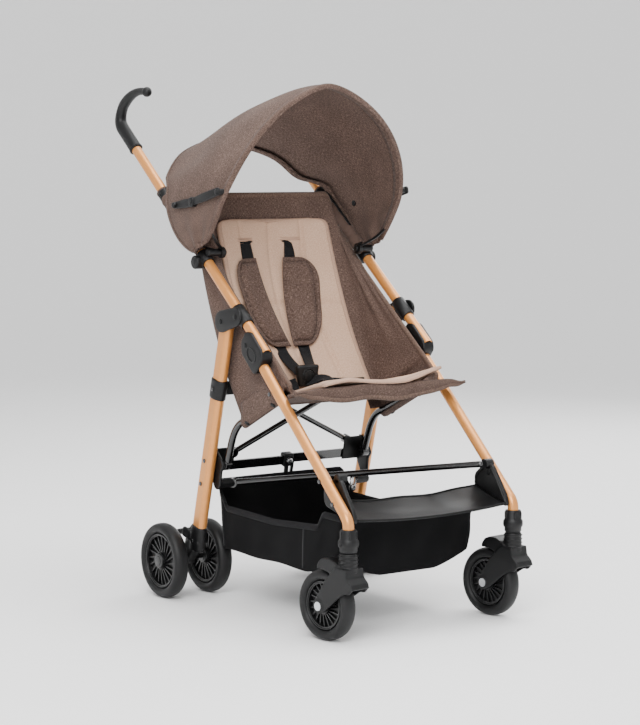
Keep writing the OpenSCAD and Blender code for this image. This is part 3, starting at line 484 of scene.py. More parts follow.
# %% Points on the tubes
FRAME_X, TUBE_R = 188, 10
HANDLE_TILT = math.radians(38.8)
handle_way = Vector((0, math.cos(HANDLE_TILT), math.sin(HANDLE_TILT)))
handle_up = Vector((0, -math.sin(HANDLE_TILT), math.cos(HANDLE_TILT)))
HANDLE_LEN, HANDLE_FOOT = 640, (260, 496)


def drawn(p):
    """The drawing's y and z of a point."""
    return p.y / MM - SWIVEL_Y, p.z / MM


def beside(x, p):
    """A point level with another, at an x of its own."""
    return Vector((x * MM, p.y, p.z))


def on_handle(x, along, above=0.0):
    return at(x, *HANDLE_FOOT) + (handle_way * along + handle_up * above) * MM


LEG_PIVOT = on_handle(0, 134, -41)
REAR_TILT = math.radians(14.5)
rear_down = Vector((0, math.sin(REAR_TILT), -math.cos(REAR_TILT)))
rear_back = Vector((0, math.cos(REAR_TILT), math.sin(REAR_TILT)))


def on_rear_leg(x, along, behind=0.0):
    return beside(x, LEG_PIVOT) + (rear_down * along + rear_back * behind) * MM


print("rear leg pivot", tuple(round(v, 4) for v in LEG_PIVOT))

# %% [markdown]
# The hand grip is one soft moulding: a sleeve over the end of the tube, a tight bend, and a slim hook that
# runs forward to a ball. It could be a curve with a bevel, but a section swept from ring to ring can thicken
# and thin on the way.

# %% Hand grips
GRIP_END, ARC_R, ARC_FROM, ARC_TURN = HANDLE_LEN + 55, 107, math.radians(28), math.radians(71)
for label, s in SIDES:
    x = s * FRAME_X
    end = on_handle(x, GRIP_END)
    middle = end - Vector((0, math.cos(ARC_FROM), math.sin(ARC_FROM))) * ARC_R * MM
    arc = []
    for k in range(33):
        a = ARC_FROM + ARC_TURN * k / 32
        arc.append(middle + Vector((0, math.cos(a), math.sin(a))) * ARC_R * MM)
    line = [on_handle(x, along) for along in (600, 600.6, 602.5, 606, 620, 640, 655, 667)]
    radii = [11.6, 12.6, 13.0, 13.0, 12.9, 12.9, 12.9, 12.9]
    bend_from, bend_to = on_handle(x, 667), arc[9]
    for k in range(1, 15):
        t = k / 15
        line.append(bend_from * (1 - t) ** 2 + end * 2 * t * (1 - t) + bend_to * t * t)
        radii.append(mix(12.9, 10.6, smooth(t)))
    for k, p in enumerate(arc[9:]):
        line.append(p)
        radii.append(mix(10.6, 7.2, smooth(k / 21)))
    form = bmesh.new()
    sweep(form, line, radii, 28)
    work = bmesh.new()
    bmesh.ops.create_uvsphere(work, u_segments=28, v_segments=18, radius=10 * MM)
    tip = arc[-1] + (arc[-1] - arc[-2]).normalized() * 5 * MM
    bmesh.ops.translate(work, verts=work.verts, vec=tip)
    merge(form, work)
    ring(form, on_handle(x, 603), handle_way, 12.9, 1.1)
    fitting(label + "_hand_grip", form, label + "_frame", node=label + "_grip")
print("grips:", len(line), "rings each")

# %% [markdown]
# The knee block holds the handle tube and the front leg side by side. It is a rounded moulding with a raised
# oval on its outer face and a rivet. A plate cut to the outline and softened at its edges gives the moulded
# look. The link plate that carries the rear leg, and the canopy's clamp, are made in the same way.

# %% Knee blocks, link plates and clamps
KNEE_TILT, KNEE_AT = HANDLE_TILT + math.radians(3), Vector((290, 501))
KNEE_OUTLINE = ((-34, -30), (20, -30), (36, -14), (38, 10), (26, 21), (-24, 22), (-37, 12), (-39, -18))
for label, s in SIDES:
    x = s * FRAME_X
    form = bmesh.new()
    knee = Matrix.Rotation(KNEE_TILT, 2)
    outline = [knee @ Vector(p) + KNEE_AT for p in KNEE_OUTLINE]
    outer, inner = x + s * 13.5, x - s * 12.5
    plate(form, outline, inner, outer, 3.5, 5, 4)
    centre = at(outer, *(knee @ Vector((-6, -6)) + KNEE_AT))
    ring(form, centre, (s, 0, 0), 11, 1.3, stretch=1.45, along=handle_way)
    disc(form, at(outer - s * 0.6, *(knee @ Vector((20, -8)) + KNEE_AT)), (s, 0, 0), 4.6, 2.2, 1.0)
    fitting(label + "_knee_moulding", form, label + "_frame", node=label + "_knee_block")

    form = bmesh.new()
    tie, low = on_handle(0, 102), LEG_PIVOT
    face = s * (FRAME_X + 11.5)
    lean = math.atan2(low.z - tie.z, low.y - tie.y)
    hull = []
    for spot, first, round_r in ((tie, 90, 18), (low, -90, 21)):
        y, z = drawn(spot)
        for k in range(7):
            a = lean + math.radians(first + 30 * k)
            hull.append((y + round_r * math.cos(a), z + round_r * math.sin(a)))
    plate(form, hull, face, face + s * 5.5, 2.0, 2, 3)
    sweep(form, [on_handle(x, a) for a in (79, 80.5, 101, 122.5, 124)], [12.6, 13.6, 13.8, 13.6, 12.6], 32)
    for spot in (tie, low):
        disc(form, beside(face + s * 5, spot), (s, 0, 0), 5, 2.4, 1.0)
        disc(form, beside(face + s * 6.9, spot), (s, 0, 0), 2.2, 0.9, 0.3)
    fitting(label + "_link_moulding", form, label + "_frame", node=label + "_link_plate")

    form = bmesh.new()
    sweep(form, [on_handle(x, a) for a in (253, 255, 279, 281)], [13, 14, 14, 13], 32)
    hub = on_handle(0, 267, -8)
    for x0, r, h, edge in ((0, 13, 20, 0), (20, 13, 3.5, 2.4)):
        disc(form, beside(s * (FRAME_X + x0), hub), (s, 0, 0), r, h, edge, 36)
    disc(form, beside(s * (FRAME_X + 22.6), hub), (s, 0, 0), 4.5, 1.8, 0.8)
    pivot = on_handle(0, 263, 19)
    disc(form, beside(s * 167, pivot), (s, 0, 0), 7.5, 27, 1.5, 32)
    disc(form, beside(s * 156, pivot), (s, 0, 0), 5, 12, 0.5, 24)
    disc(form, beside(s * 156.4, pivot), (-s, 0, 0), 6.5, 3, 1.2, 24)
    fitting(label + "_clamp_moulding", form, label + "_frame", node=label + "_canopy_clamp")
print("knee blocks, link plates and clamps on both sides")

# %% [markdown]
# ## Cloth
# A sheet of cloth starts as a flat grid whose UV map is laid out in metres, and each point is then moved to
# its place. A Solidify modifier gives it the thickness of the cloth. When the frame folds, its right side
# comes in beside the left. Each soft piece gets a mesh of its own and rides on one body.

# %% Tools for cloth
FOLDED, TAPE_T = 0.415, 0.8


def gather(made):
    """Gives a soft piece a mesh of its own."""
    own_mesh(made)
    return made


def grid_form(cols, rows, place, size):
    """A grid with a UV map in metres, each point moved to place(u, v)."""
    form = bmesh.new()
    bmesh.ops.create_grid(form, x_segments=cols, y_segments=rows, size=0.5)
    lay = form.loops.layers.uv.new("lay")
    for face in form.faces:
        for loop in face.loops:
            loop[lay].uv = ((loop.vert.co.x + 0.5) * size[0], (loop.vert.co.y + 0.5) * size[1])
    for v in form.verts:
        v.co = place(v.co.x + 0.5, v.co.y + 0.5)
    return form


def cloth(name, form, finish, body, thick, node):
    """A sheet with thickness, on a mesh of its own."""
    made = piece(name, form, finish, body, 70)
    wall = made.modifiers.new("thickness", "SOLIDIFY")
    wall.thickness, wall.offset = thick * MM, 0
    gather(made)
    if node:
        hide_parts(node)
    return made


def trim(name, form, finish, body="left_frame", node=None):
    """A piece on or in the cloth, on a mesh of its own."""
    made = gather(piece(name, form, finish, body))
    if node:
        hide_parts(node)
    return made


def area_of(made):
    return sum(f.area for f in made.data.polygons)


def weave(table):
    """A smooth surface through a table of points: place(u, v) with u across a row and v from row to row."""
    height, width = len(table), len(table[0])

    def blend4(p, t):
        return 0.5 * (2 * p[1] + (p[2] - p[0]) * t + (2 * p[0] - 5 * p[1] + 4 * p[2] - p[3]) * t * t
                      + (3 * p[1] - p[0] - 3 * p[2] + p[3]) * t ** 3)

    def along(row, u):
        x = clamp(u) * (width - 1)
        k = min(int(x), width - 2)
        a = row[k - 1] if k else row[0] * 2 - row[1]
        b = row[k + 2] if k + 2 < width else row[-1] * 2 - row[-2]
        return blend4((a, row[k], row[k + 1], b), x - k)

    def place(u, v):
        y = clamp(v) * (height - 1)
        k = min(int(y), height - 2)
        mid = [along(table[i], u) for i in (max(k - 1, 0), k, k + 1, min(k + 2, height - 1))]
        if k == 0:
            mid[0] = mid[1] * 2 - mid[2]
        if k + 2 >= height:
            mid[3] = mid[2] * 2 - mid[1]
        return blend4(mid, y - k)

    return place


def facing(surface, u, v, step=0.004):
    """The direction that a surface faces at a point."""
    a = surface(min(u + step, 1), v) - surface(max(u - step, 0), v)
    b = surface(u, min(v + step, 1)) - surface(u, max(v - step, 0))
    return a.cross(b).normalized()


def binding(name, edge, finish, body, widths, thick, count):
    """A tape folded over an edge. edge(t) gives a point, the way into the cloth and the way it faces."""
    under, over = widths
    below, above = thick if isinstance(thick, tuple) else (thick, thick)
    profile = [(under, -1.0), (under * 0.5, -1.0), (0.6, -1.0), (-0.9, 0.0), (0.6, 1.0), (over * 0.5, 1.0),
               (over, 1.0)]

    def place(u, v):
        p, inward, face = edge(u)
        w = v * (len(profile) - 1)
        k = min(int(w), len(profile) - 2)
        d, n = (mix(profile[k][i], profile[k + 1][i], w - k) for i in (0, 1))
        return p + (inward * d + face * n * (below if n < 0 else above)) * MM

    length = sum((edge((k + 1) / 40)[0] - edge(k / 40)[0]).length for k in range(40))
    form = grid_form(count, len(profile) - 1, place, (length, (under + over) * MM))
    return cloth(name, form, finish, body, TAPE_T, None)


print("cloth tools ready")

# %% [markdown]
# ### Canopy
# The canopy is one piece of cloth stretched between two bows that fan out from pivots on the handle tubes.
# Its rows run from the front bow to the rear one and rise to a crown between them, so the cloth is round both
# ways. It hangs in soft folds below the stays, and is slack enough to wrinkle a little.

# %% Canopy cloth
HOOD_X, HOOD_H, HOOD_LOW_X, HOOD_LOW, HOOD_BEND = 206, 335, 204.5, 24, 110
hood_pivot = on_handle(0, 263, 19)
HOOD_SIDE, HOOD_CROWN, HOOD_SLACK, HOOD_FOLD, HOOD_BULGE = 0.16, 19, 2.2, 7, 5
# Lean of the front and rear edge in degrees, at the top and what the feet add
FRONT_LEAN, FRONT_FOOT, REAR_LEAN, REAR_FOOT, REAR_TOP, SHOULDER = 22.5, 24, 44, 52, 7.5, 4


def arch(t):
    """Half width and height of the canopy's arch, from the right foot over the top to the left foot."""
    m = t if t <= 0.5 else 1 - t
    if m < HOOD_SIDE:
        f = m / HOOD_SIDE
        x, h = mix(HOOD_LOW_X, HOOD_X, f), mix(HOOD_LOW, HOOD_BEND, f)
    else:
        a = math.pi / 2 * (m - HOOD_SIDE) / (0.5 - HOOD_SIDE)
        x = HOOD_X * max(math.cos(a), 0) ** 1.3
        h = HOOD_BEND + (HOOD_H - HOOD_BEND) * math.sin(a) ** 1.05
    return (x if t <= 0.5 else -x), h


def hood_point(x, h, lean, grow=0.0):
    return hood_pivot + Vector((x * (1 + grow / HOOD_X), (h + grow) * math.sin(lean),
                                (h + grow) * math.cos(lean))) * MM


def front_lean(h):
    return -math.radians(FRONT_LEAN + FRONT_FOOT * (1 - h / HOOD_H))


def rear_lean(h):
    shoulder = SHOULDER * math.exp(-((h - 245) / 28) ** 2)
    foot, top = REAR_FOOT * max(0, 1 - h / 190), REAR_TOP * smooth((h - 110) / 80)
    return math.radians(REAR_LEAN + foot + top + shoulder)


def hood(u, v):
    x, h = arch(u)
    grow = 3 + 6 * smooth((h - 150) / 150)
    a = hood_point(x, h, front_lean(h), grow)
    b = hood_point(x, h, rear_lean(h), grow + 3 * smooth((h - 200) / 100))
    p = a + (b - a) * v
    between = 4 * v * (1 - v)
    # The crown is full at a third of the way back, where the factor of 6.75 makes it one
    crown = HOOD_CROWN * 6.75 * v * (1 - v) ** 2 * smooth((h - 150) / 120)
    slack = math.sin(19 * u + 5 * v) * math.sin(8 * v - 6 * u + 1) + 0.5 * math.sin(43 * u - 9 * v)
    rise = crown + HOOD_SLACK * slack * between ** 2 * smooth((h - 60) / 80)
    lean = mix(front_lean(h), rear_lean(h), v)
    p += Vector((0, math.sin(lean), math.cos(lean))) * rise * MM
    low = 1 - smooth((h - 40) / 130)
    fold = low * between * (0.5 + 0.5 * math.sin(2 * math.pi * (2.6 * v + 0.15 * math.copysign(1, x))))
    bulge = HOOD_BULGE * between * smooth((h - 60) / 60) * (1 - smooth((h - 170) / 90))
    p.x += math.copysign(HOOD_FOLD * fold + bulge, x) * MM
    return p


form = grid_form(96, 26, hood, (1.02, 0.34))
canopy = cloth("canopy_fabric", form, "melange polyester", "canopy", 2.2, "canopy_cloth")
print("canopy cloth area", round(area_of(canopy), 3), "square metres")

# %% [markdown]
# A folded tape finishes the canopy's four edges. Inside the front and rear edges it is wide, because there it
# is the channel that a bow runs in.

# %% Canopy bindings


def hood_edge(way):
    def edge(t):
        u, v = {"front": (t, 0.0), "rear": (t, 1.0), "right": (0.0, t), "left": (1.0, t)}[way]
        p = hood(u, v)
        inner = hood(*{"front": (t, 0.03), "rear": (t, 0.97), "right": (0.01, t), "left": (0.99, t)}[way])
        face = facing(hood, clamp(u, 0.004, 0.996), clamp(v, 0.02, 0.98), 0.01)
        away = p - Vector((0, hood_pivot.y, hood_pivot.z - 0.05))
        return p, (inner - p).normalized(), face if face.dot(away) > 0 else -face
    return edge


for way, widths, count in (("front", (24, 11), 110), ("rear", (20, 9), 110), ("left", (9, 9), 30),
                           ("right", (9, 9), 30)):
    thick = (6.5, 1.9) if way in ("front", "rear") else 1.9
    binding("canopy_binding_" + way, hood_edge(way), "melange polyester", "canopy", widths,
                         thick, count)
print("canopy bound on four edges")

# %% [markdown]
# Each bow is a flat spring strip that runs in the pocket of a binding and ends in an arm on the pivot.
# Outside, an elbow stay on each side locks the canopy open: two flat links on a knuckle.

# %% Canopy bows and stays
ARM = ((160, 6), (172, 16), (190, 34))
STAYS = ((530, 765), (464, 772), (375, 792))
bow_form = bmesh.new()
for front in (True, False):
    edge = hood_edge("front" if front else "rear")
    line = []
    for k in range(61):
        p, inward, face = edge(mix(0.06, 0.94, k / 60))
        line.append(p + (inward * 10 - face * 3.4) * MM)
    arms = []
    for s in (1, -1):
        arms.append([hood_point(s * x, h, front_lean(h) if front else math.radians(70)) for x, h in ARM])
    first, last = curve_through(arms[0] + [line[0]], 5), curve_through([line[-1]] + arms[1][::-1], 5)
    sweep(bow_form, first[:-1] + line + last[1:], 5.5, 12, 0.32, Vector((0, 1, 0)))
for s in (1, -1):
    disc(bow_form, beside(s * 158, hood_pivot), (s, 0, 0), 11, 8, 1.5)
trim("canopy_bow_strips", bow_form, "moulded nylon", "canopy", "canopy_bows")

stay_form = bmesh.new()
for s in (1, -1):
    ends = [at(0, y, z) for y, z in STAYS]
    for k, x in ((0, 214), (1, 218)):
        a, b = ends[k], ends[k + 1]
        way, up = (b - a).normalized(), (b - a).normalized().cross(Vector((1, 0, 0)))
        outline = [a - way * 0.008 + up * 0.006, a - way * 0.008 - up * 0.006, (a + b) / 2 - up * 0.0085,
                   b + way * 0.008 - up * 0.0075, b + way * 0.008 + up * 0.0075, (a + b) / 2 + up * 0.0085]
        plate(stay_form, [drawn(p) for p in outline], s * x, s * (x + 4.5), 1.4, 5)
    disc(stay_form, ends[1] + Vector((s * 0.0125 + s * 0.2, 0, 0)), (s, 0, 0), 9.5, 12, 2, 32)
    disc(stay_form, ends[1] + Vector((s * 0.2245, 0, 0)), (s, 0, 0), 4, 1.4, 0.6)
    for k in (0, 2):
        disc(stay_form, ends[k] + Vector((s * 0.205, 0, 0)), (s, 0, 0), 5.5, 19, 1.5)
trim("canopy_elbow_stays", stay_form, "moulded nylon", "canopy", "canopy_stays")
print("bows and stays made")

# %% [markdown]
# A sleeve of the same cloth covers each handle tube beside the child's head. It is a tube of cloth, drawn in
# by slack rings.

# %% Handle sleeves
SLEEVE_FROM, SLEEVE_LEN = 285, 183
for label, s in SIDES:
    x = s * FRAME_X
    steps = [SLEEVE_FROM + SLEEVE_LEN * k / 60 for k in range(61)]
    form = bmesh.new()
    sweep(form, [on_handle(x, a) for a in steps],
          [13.2 + 0.7 * math.sin(a * 0.19) + 0.5 * math.sin(a * 0.43) for a in steps], 32)
    tube_cover = piece(label + "_handle_sleeve", form, "melange polyester", label + "_frame", 70)
print("two handle sleeves")

# %% [markdown]
# ### Seat
# The seat is a sling: a base that slopes down to the back, a hollowed back, and side walls that climb to the
# handle tubes. A coarse table of points holds its form, a smooth surface is woven through it, and folds are
# laid over that. The walls carry long soft folds that fan out from the upper corners, as slack cloth does.

# %% Form of the seat
SEAT_FRONT, SEAT_REAR, BACK_TOP = Vector((152, 437)), Vector((374, 386)), Vector((545, 787))
PANEL_X, FLAP_X, WALL_X, BACK_SAG = 146, 195, 170, 60
EDGE_FRONT, EDGE_KNEE, EDGE_TOP = Vector((196, 434)), Vector((250, 481)), Vector((522, 699))
BASE_Y = (152, 180, 205, 235, 272, 309, 346, 366)
SEAT_TUBE_X = 163
tube_front, tube_rear = on_rear_leg(0, 84, -182), on_rear_leg(0, 164, -88)


def tube_z(y):
    f = (y + SWIVEL_Y - tube_front.y / MM) / ((tube_rear.y - tube_front.y) / MM)
    return mix(tube_front.z, tube_rear.z, f) / MM


def base_z(y):
    return mix(SEAT_FRONT.y, SEAT_REAR.y, (y - SEAT_FRONT.x) / (SEAT_REAR.x - SEAT_FRONT.x))


def on_panel(x, v):
    hollow = BACK_SAG * math.sin(math.pi * clamp(v)) * max(0, 1 - (x / PANEL_X) ** 2)
    return at(x, mix(SEAT_REAR.x, BACK_TOP.x, v) + hollow, mix(SEAT_REAR.y, BACK_TOP.y, v))


def seat_row(i):
    y, out = BASE_Y[i], []
    z, t = base_z(y), tube_z(y)
    if i <= 2:
        reach = FLAP_X if i < 2 else WALL_X
        out = [at(mix(PANEL_X, reach, k / 5), y, z - k) for k in range(1, 6)]
    else:
        e = EDGE_FRONT + (EDGE_KNEE - EDGE_FRONT) * (i - 2) / 6
        foot = max(z + 4, t + 13)
        out = [at(152, y, max(z, t + 7)), at(160, y, max(z + 1, t + 13)), at(WALL_X, y, foot),
               at(WALL_X, mix(y, e.x, 0.5), mix(foot, e.y, 0.5)), at(WALL_X, e.x, e.y)]
    return [at(PANEL_X * k / 6, y, z) for k in range(7)] + out


def back_row(v):
    p, e = on_panel(PANEL_X, v), EDGE_KNEE + (EDGE_TOP - EDGE_KNEE) * v
    edge = at(WALL_X, e.x, e.y)
    out = []
    for k in range(1, 6):
        f = k / 5
        q = p + (edge - p) * f
        q.x = mix(PANEL_X, WALL_X, f ** 0.6) * MM
        out.append(q)
    return [on_panel(PANEL_X * k / 6, v) for k in range(7)] + out


def both(half):
    return [Vector((-p.x, p.y, p.z)) for p in half[:0:-1]] + half


front_row = seat_row(0)
hem_row = [p + Vector((0, 0.007, (-26 * (1 - (abs(p.x) / MM / FLAP_X) ** 3) - 3) * MM)) for p in front_row]
half_rows = [hem_row] + [seat_row(i) for i in range(8)] + [back_row(k / 12) for k in range(13)]
seat_table = [both(r) for r in half_rows]
sling = weave(seat_table)


WALL_FOLD, WALL_CREASE = 3.0, 7.0
# Each crease of a wall: how far out it starts near the top, and how it fans out
WALL_CREASES = ((0.67, 0.02), (0.77, -0.10), (0.87, -0.22))


def seat(u, v):
    p = sling(u, v)
    side = abs(u - 0.5) * 2
    climb = smooth((v - 0.42) / 0.5)
    wall = smooth((side - 0.56) / 0.2) * (1 - smooth((side - 0.93) / 0.07))
    row = math.sin(21 * side + 3.5 * v + (0.8 if u > 0.5 else 0.2)) + 0.5 * math.sin(38 * side - 5 * v)
    crease = sum(math.exp(-((side - start - fan * (v - 0.9)) / 0.036) ** 2) for start, fan in WALL_CREASES)
    p.x -= math.copysign((WALL_FOLD * row + 2.0 + WALL_CREASE * crease) * wall * climb, p.x) * MM
    top = smooth((v - 0.88) / 0.1)
    p.y += (2.5 * math.sin(26 * (u - 0.5)) * top * (1 - side)) * MM
    front = 1 - smooth((v - 0.02) / 0.1)
    p.z += (2.2 * math.sin(17 * u + 0.6) + 1.5 * math.sin(31 * u)) * front * (1 - side ** 4) * MM
    return p


form = grid_form(110, 84, seat, (0.62, 0.74))
seat_fabric = cloth("seat_fabric", form, "melange polyester", "left_frame", 3.0, "seat_cloth")
print("seat cloth area", round(area_of(seat_fabric), 3), "square metres")

# %% [markdown]
# On each side a skirt of the same cloth hangs from the wall and wraps round the seat tube, where a short row
# of press studs closes it. Outside, a side panel runs from the handle tube back to a seam behind the child's
# back. Light tape binds the wall's upper edge, the front hem and the skirt's lower edge.

# %% Skirts and seat bindings
SKIRT_Y, SKIRT_TURN, WRAP_R = (222, 250, 280, 310, 340, 366), (0, -45, -90, -150), 11.4
PIPING_AT, STUD_OUT = 0.66, 7.6
for label, s in SIDES:
    table = []
    for y in SKIRT_Y:
        z = tube_z(y)
        table.append([at(s * (WALL_X + 1.2), y + 6, z + 36), at(s * (WALL_X + 2.6), y + 3, z + 20)] + [
            at(s * (SEAT_TUBE_X + WRAP_R * math.cos(a)), y, z + WRAP_R * math.sin(a))
            for a in map(math.radians, SKIRT_TURN)])
    skirt = weave(table)
    form = grid_form(20, 16, skirt, (0.075, 0.16))
    sleeve = cloth("seat_skirt_" + label, form, "melange polyester", "left_frame", 1.6, None)
    form = bmesh.new()
    line = []
    for k in range(21):
        face = facing(skirt, PIPING_AT, clamp(k / 20, 0.02, 0.98))
        line.append(skirt(PIPING_AT, k / 20) + face * 0.0005)
    sweep(form, line, 1.9, 8)
    piping = trim("seat_skirt_piping_" + label, form, "melange binding")
    form = bmesh.new()
    for y in (236, 262, 350):
        stud = at(s * (SEAT_TUBE_X + STUD_OUT), y, tube_z(y) - STUD_OUT)
        disc(form, stud, (s, 0, -1), 5.5, 3.4, 1.4, 20)
    trim("seat_studs_" + label, form, "moulded nylon")


SIDE_FRONT = (Vector((214, 437)), Vector((254, 481)), Vector((390, 590)), Vector((518, 694)))
SIDE_REAR = (Vector((371, 365)), Vector((436, 465)), Vector((492, 584)), Vector((530, 690)))


def side_panel(s):
    """The outer side of the seat, from the handle tube back to a seam and round to the back."""
    table = []
    for k in range(4):
        a, b = SIDE_FRONT[k], SIDE_REAR[k]
        row = [at(s * mix(172.5, 169, f), *(a + (b - a) * f)) for f in (0, 0.25, 0.5, 0.75, 1)]
        table.append(row + [at(s * 160, b.x + 7, b.y - 2), at(s * 140, b.x + 8, b.y - 3)])
    flat = weave(table)

    def place(u, v):
        p = flat(u, v)
        fold = math.sin(math.pi * clamp(u / 0.7)) * (math.sin(13 * u + 4 * v) + 0.6 * math.sin(7 * v - 9 * u))
        p.x -= s * (1.6 + 1.6 * fold) * MM * smooth(u / 0.08)
        return p
    return place


for label, s in SIDES:
    form = grid_form(40, 60, side_panel(s), (0.21, 0.42))
    outer = cloth("seat_side_" + label, form, "melange polyester", "left_frame", 1.6, None)
print("seat sides, each", round(area_of(outer), 4), "square metres")


def seat_edge(way):
    def edge(t):
        high = mix(0.115, 1, t)
        u, v = {"left": (0.0, high), "right": (1.0, high), "top": (t, 1.0), "hem": (t, 0.0)}[way]
        inner = {"left": (0.02, v), "right": (0.98, v), "top": (u, 0.985), "hem": (u, 0.015)}[way]
        p = seat(u, v)
        face = facing(seat, clamp(u, 0.01, 0.99), clamp(v, 0.01, 0.99), 0.008)
        return p, (seat(*inner) - p).normalized(), face
    return edge


for way in ("left", "right", "top", "hem"):
    binding("seat_binding_" + way, seat_edge(way), "melange binding", "left_frame", (9, 9), 2.2,
                         60)
print("seat skirts and bindings made")

# %% [markdown]
# ### Liner
# The liner is a padded mat of beige cloth that lies on the base and the back. Sewn lines divide it into
# channels, a tape binds it, and its front edge lifts off the seat in a wave. Its face is a woven surface
# pushed out by the filling, and a Solidify modifier gives each point its own thickness from a vertex group,
# so the back stays on the seat.

# %% Tools for padding


def filled(name, form, fill, finish, thick, node, outward):
    """A stuffed piece: its face is given, and its back lies behind it by the filling's thickness."""
    share = form.verts.layers.deform.verify()
    lay = form.loops.layers.uv.active
    for face in form.faces:
        for loop in face.loops:
            loop.vert[share][0] = clamp(fill(*loop[lay].uv) / thick)
    made = piece(name, form, finish, "left_frame", 75)
    made.vertex_groups.new(name="filling")
    front = sum((f.normal for f in made.data.polygons), Vector())
    wall = made.modifiers.new("padding", "SOLIDIFY")
    wall.thickness, wall.vertex_group = thick * MM, "filling"
    wall.offset = -1 if front.dot(outward) > 0 else 1
    gather(made)
    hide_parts(node)
    return made


# %% Liner
LINER_X, LINER_HIP, LINER_OVER, LINER_LIFT, LINER_T = 134, 8, 6, 3.0, 11.0
LINER_SIZE, LINER_EDGE_T, LINER_OUT = (0.268, 0.60), 2.5, Vector((0, -1, 0.7))
LIP = (1, 0.6, 0.25)
liner_table = []
for i, y in enumerate(BASE_Y):
    row = []
    for k in range(17):
        u = k / 16
        wave = max(0, 8 * math.sin(math.radians(396 * u + 18)) + 16 * u * u)
        lift = LIP[i] * wave if i < 3 else 0
        half = LINER_X + LINER_HIP * smooth((i - 3) / 5)
        row.append(at(mix(-half, half, u), y - (LINER_OVER if i == 0 else 0), base_z(y) + lift))
    liner_table.append(row)
for v in [0.04] + [k / 12 for k in range(1, 11)] + [0.87]:
    half = LINER_X + LINER_HIP * math.exp(-(v / 0.2) ** 2)
    liner_table.append([on_panel(mix(-half, half, k / 16), v) for k in range(17)])
mat = weave(liner_table)


def liner_layout(u, v):
    """The mat's own layout, with its two upper corners rounded off."""
    over = max(0.0, (v - 0.935) / 0.065)
    pull = 40 / 268 * (1 - math.sqrt(max(0, 1 - over * over)))
    return mix(pull, 1 - pull, u), v


def liner_fill(u, v):
    """Thickness of the mat in millimetres: thin at the edge and on the sewn lines."""
    x = mix(-LINER_X, LINER_X, u)
    full = math.sqrt(max(min(1.0, 9 * u, 9 * (1 - u), 16 * v, 16 * (1 - v)), 0.0))
    upright = smooth((v - 0.40) / 0.05)
    for seam, depth in ((-75, 0.62), (0, 0.45), (75, 0.62)):
        full *= 1 - depth * math.exp(-((x - seam) / 4.5) ** 2) * upright
    for seam in (0.405, 0.70):
        full *= 1 - 0.55 * math.exp(-((v - seam) * 600 / 5.0) ** 2)
    return LINER_EDGE_T + (LINER_T - LINER_EDGE_T) * full


def liner_up(u, v):
    way = facing(mat, clamp(u, 0.01, 0.99), clamp(v, 0.01, 0.99), 0.01)
    return way if way.dot(LINER_OUT) > 0 else -way


def liner(u, v):
    u, v = liner_layout(u, v)
    ripple = 0.8 * math.sin(23 * u + 9 * v) * math.sin(15 * v - 4 * u)
    return mat(u, v) + liner_up(u, v) * (LINER_LIFT + liner_fill(u, v) + ripple) * MM


def liner_depth(a, b):
    """The mat's fill at a place in metres on the flat sheet."""
    return liner_fill(*liner_layout(a / LINER_SIZE[0], b / LINER_SIZE[1]))


form = grid_form(84, 140, liner, LINER_SIZE)
pad = filled("seat_liner_mat", form, liner_depth, "beige air mesh", LINER_T, "seat_liner",
             LINER_OUT)


def liner_edge(way):
    def edge(t):
        u, v = {"left": (0.0, t), "right": (1.0, t), "top": (t, 1.0), "lip": (t, 0.0)}[way]
        inner = {"left": (0.03, v), "right": (0.97, v), "top": (u, 0.985), "lip": (u, 0.015)}[way]
        p, q = liner(u, v), liner(*inner)
        return p - liner_up(u, v) * 1.2 * MM, (q - p).normalized(), liner_up(u, v)
    return edge


for way, count in (("left", 90), ("right", 90), ("top", 50), ("lip", 50)):
    binding("liner_binding_" + way, liner_edge(way), "beige binding", "left_frame", (8, 8), 2.4, count)
print("liner made, about", round(area_of(pad), 3), "square metres of face")

# %% [markdown]
# ### Shoulder pads
# Each pad is a D with a straight inner edge. It is sewn along a line inside the curved edge, which leaves a
# flat border and draws the cloth into small puckers. The height of the face is worked out from the distance
# to the edge. The harness hangs a little to the left, as it was left when the picture was taken.

# %% Shoulder pads
BACK_WAY = (BACK_TOP - SEAT_REAR).normalized()
back_out = Vector((0, -BACK_WAY.y, BACK_WAY.x))
PAD_LOW, PAD_HIGH, PAD_OUT, PAD_T, HANG = 0.237, 0.662, 18.5, 13.5, -9
PAD_SIZE = (0.062, 0.179)


def off_panel(x, v, out):
    return on_panel(x, v) + back_out * out * MM


def pad_span(v):
    """The inner and outer edge of a pad, at a share of its length."""
    low, high = max(0, 1 - v / 0.42), max(0, (v - 0.68) / 0.32)
    inner = mix(3, 33, v)
    return inner, inner + 30 + 44 * math.sqrt(max(0, 1 - low ** 2.2)) * math.sqrt(max(0, 1 - high ** 2.2))


def pad_fill(u, v):
    inner, outer = pad_span(v)
    wide, length = outer - inner, PAD_SIZE[1] / MM
    border = min((1 - u) * wide, v * length, (1 - v) * length)
    edge = min(border, u * wide)
    pucker = 1 + 0.45 * math.sin(1.1 * v * length) * math.sin(0.9 * u * wide + 1)
    sewn = 4.6 * pucker * math.exp(-((border - 9.5) / 1.9) ** 2) * smooth(u * wide / 6)
    rolled = 3.4 * (1 - math.exp(-edge / 2.2))
    plump = 7.2 * smooth((border - 9) / 15) * smooth(u * wide / 13)
    return 2.4 + rolled + plump - sewn


for label, s in SIDES:
    def pad_face(u, v, s=s):
        inner, outer = pad_span(v)
        return off_panel(s * mix(inner, outer, u) + HANG, mix(PAD_LOW, PAD_HIGH, v), PAD_OUT + pad_fill(u, v))

    form = grid_form(58, 130, pad_face, PAD_SIZE)
    made = filled("shoulder_pad_" + label, form, lambda a, b: pad_fill(a / PAD_SIZE[0], b / PAD_SIZE[1]),
                  "melange polyester", PAD_T, "shoulder_pads", back_out)
print("two shoulder pads, each about", round(area_of(made) * 1e4), "square centimetres")

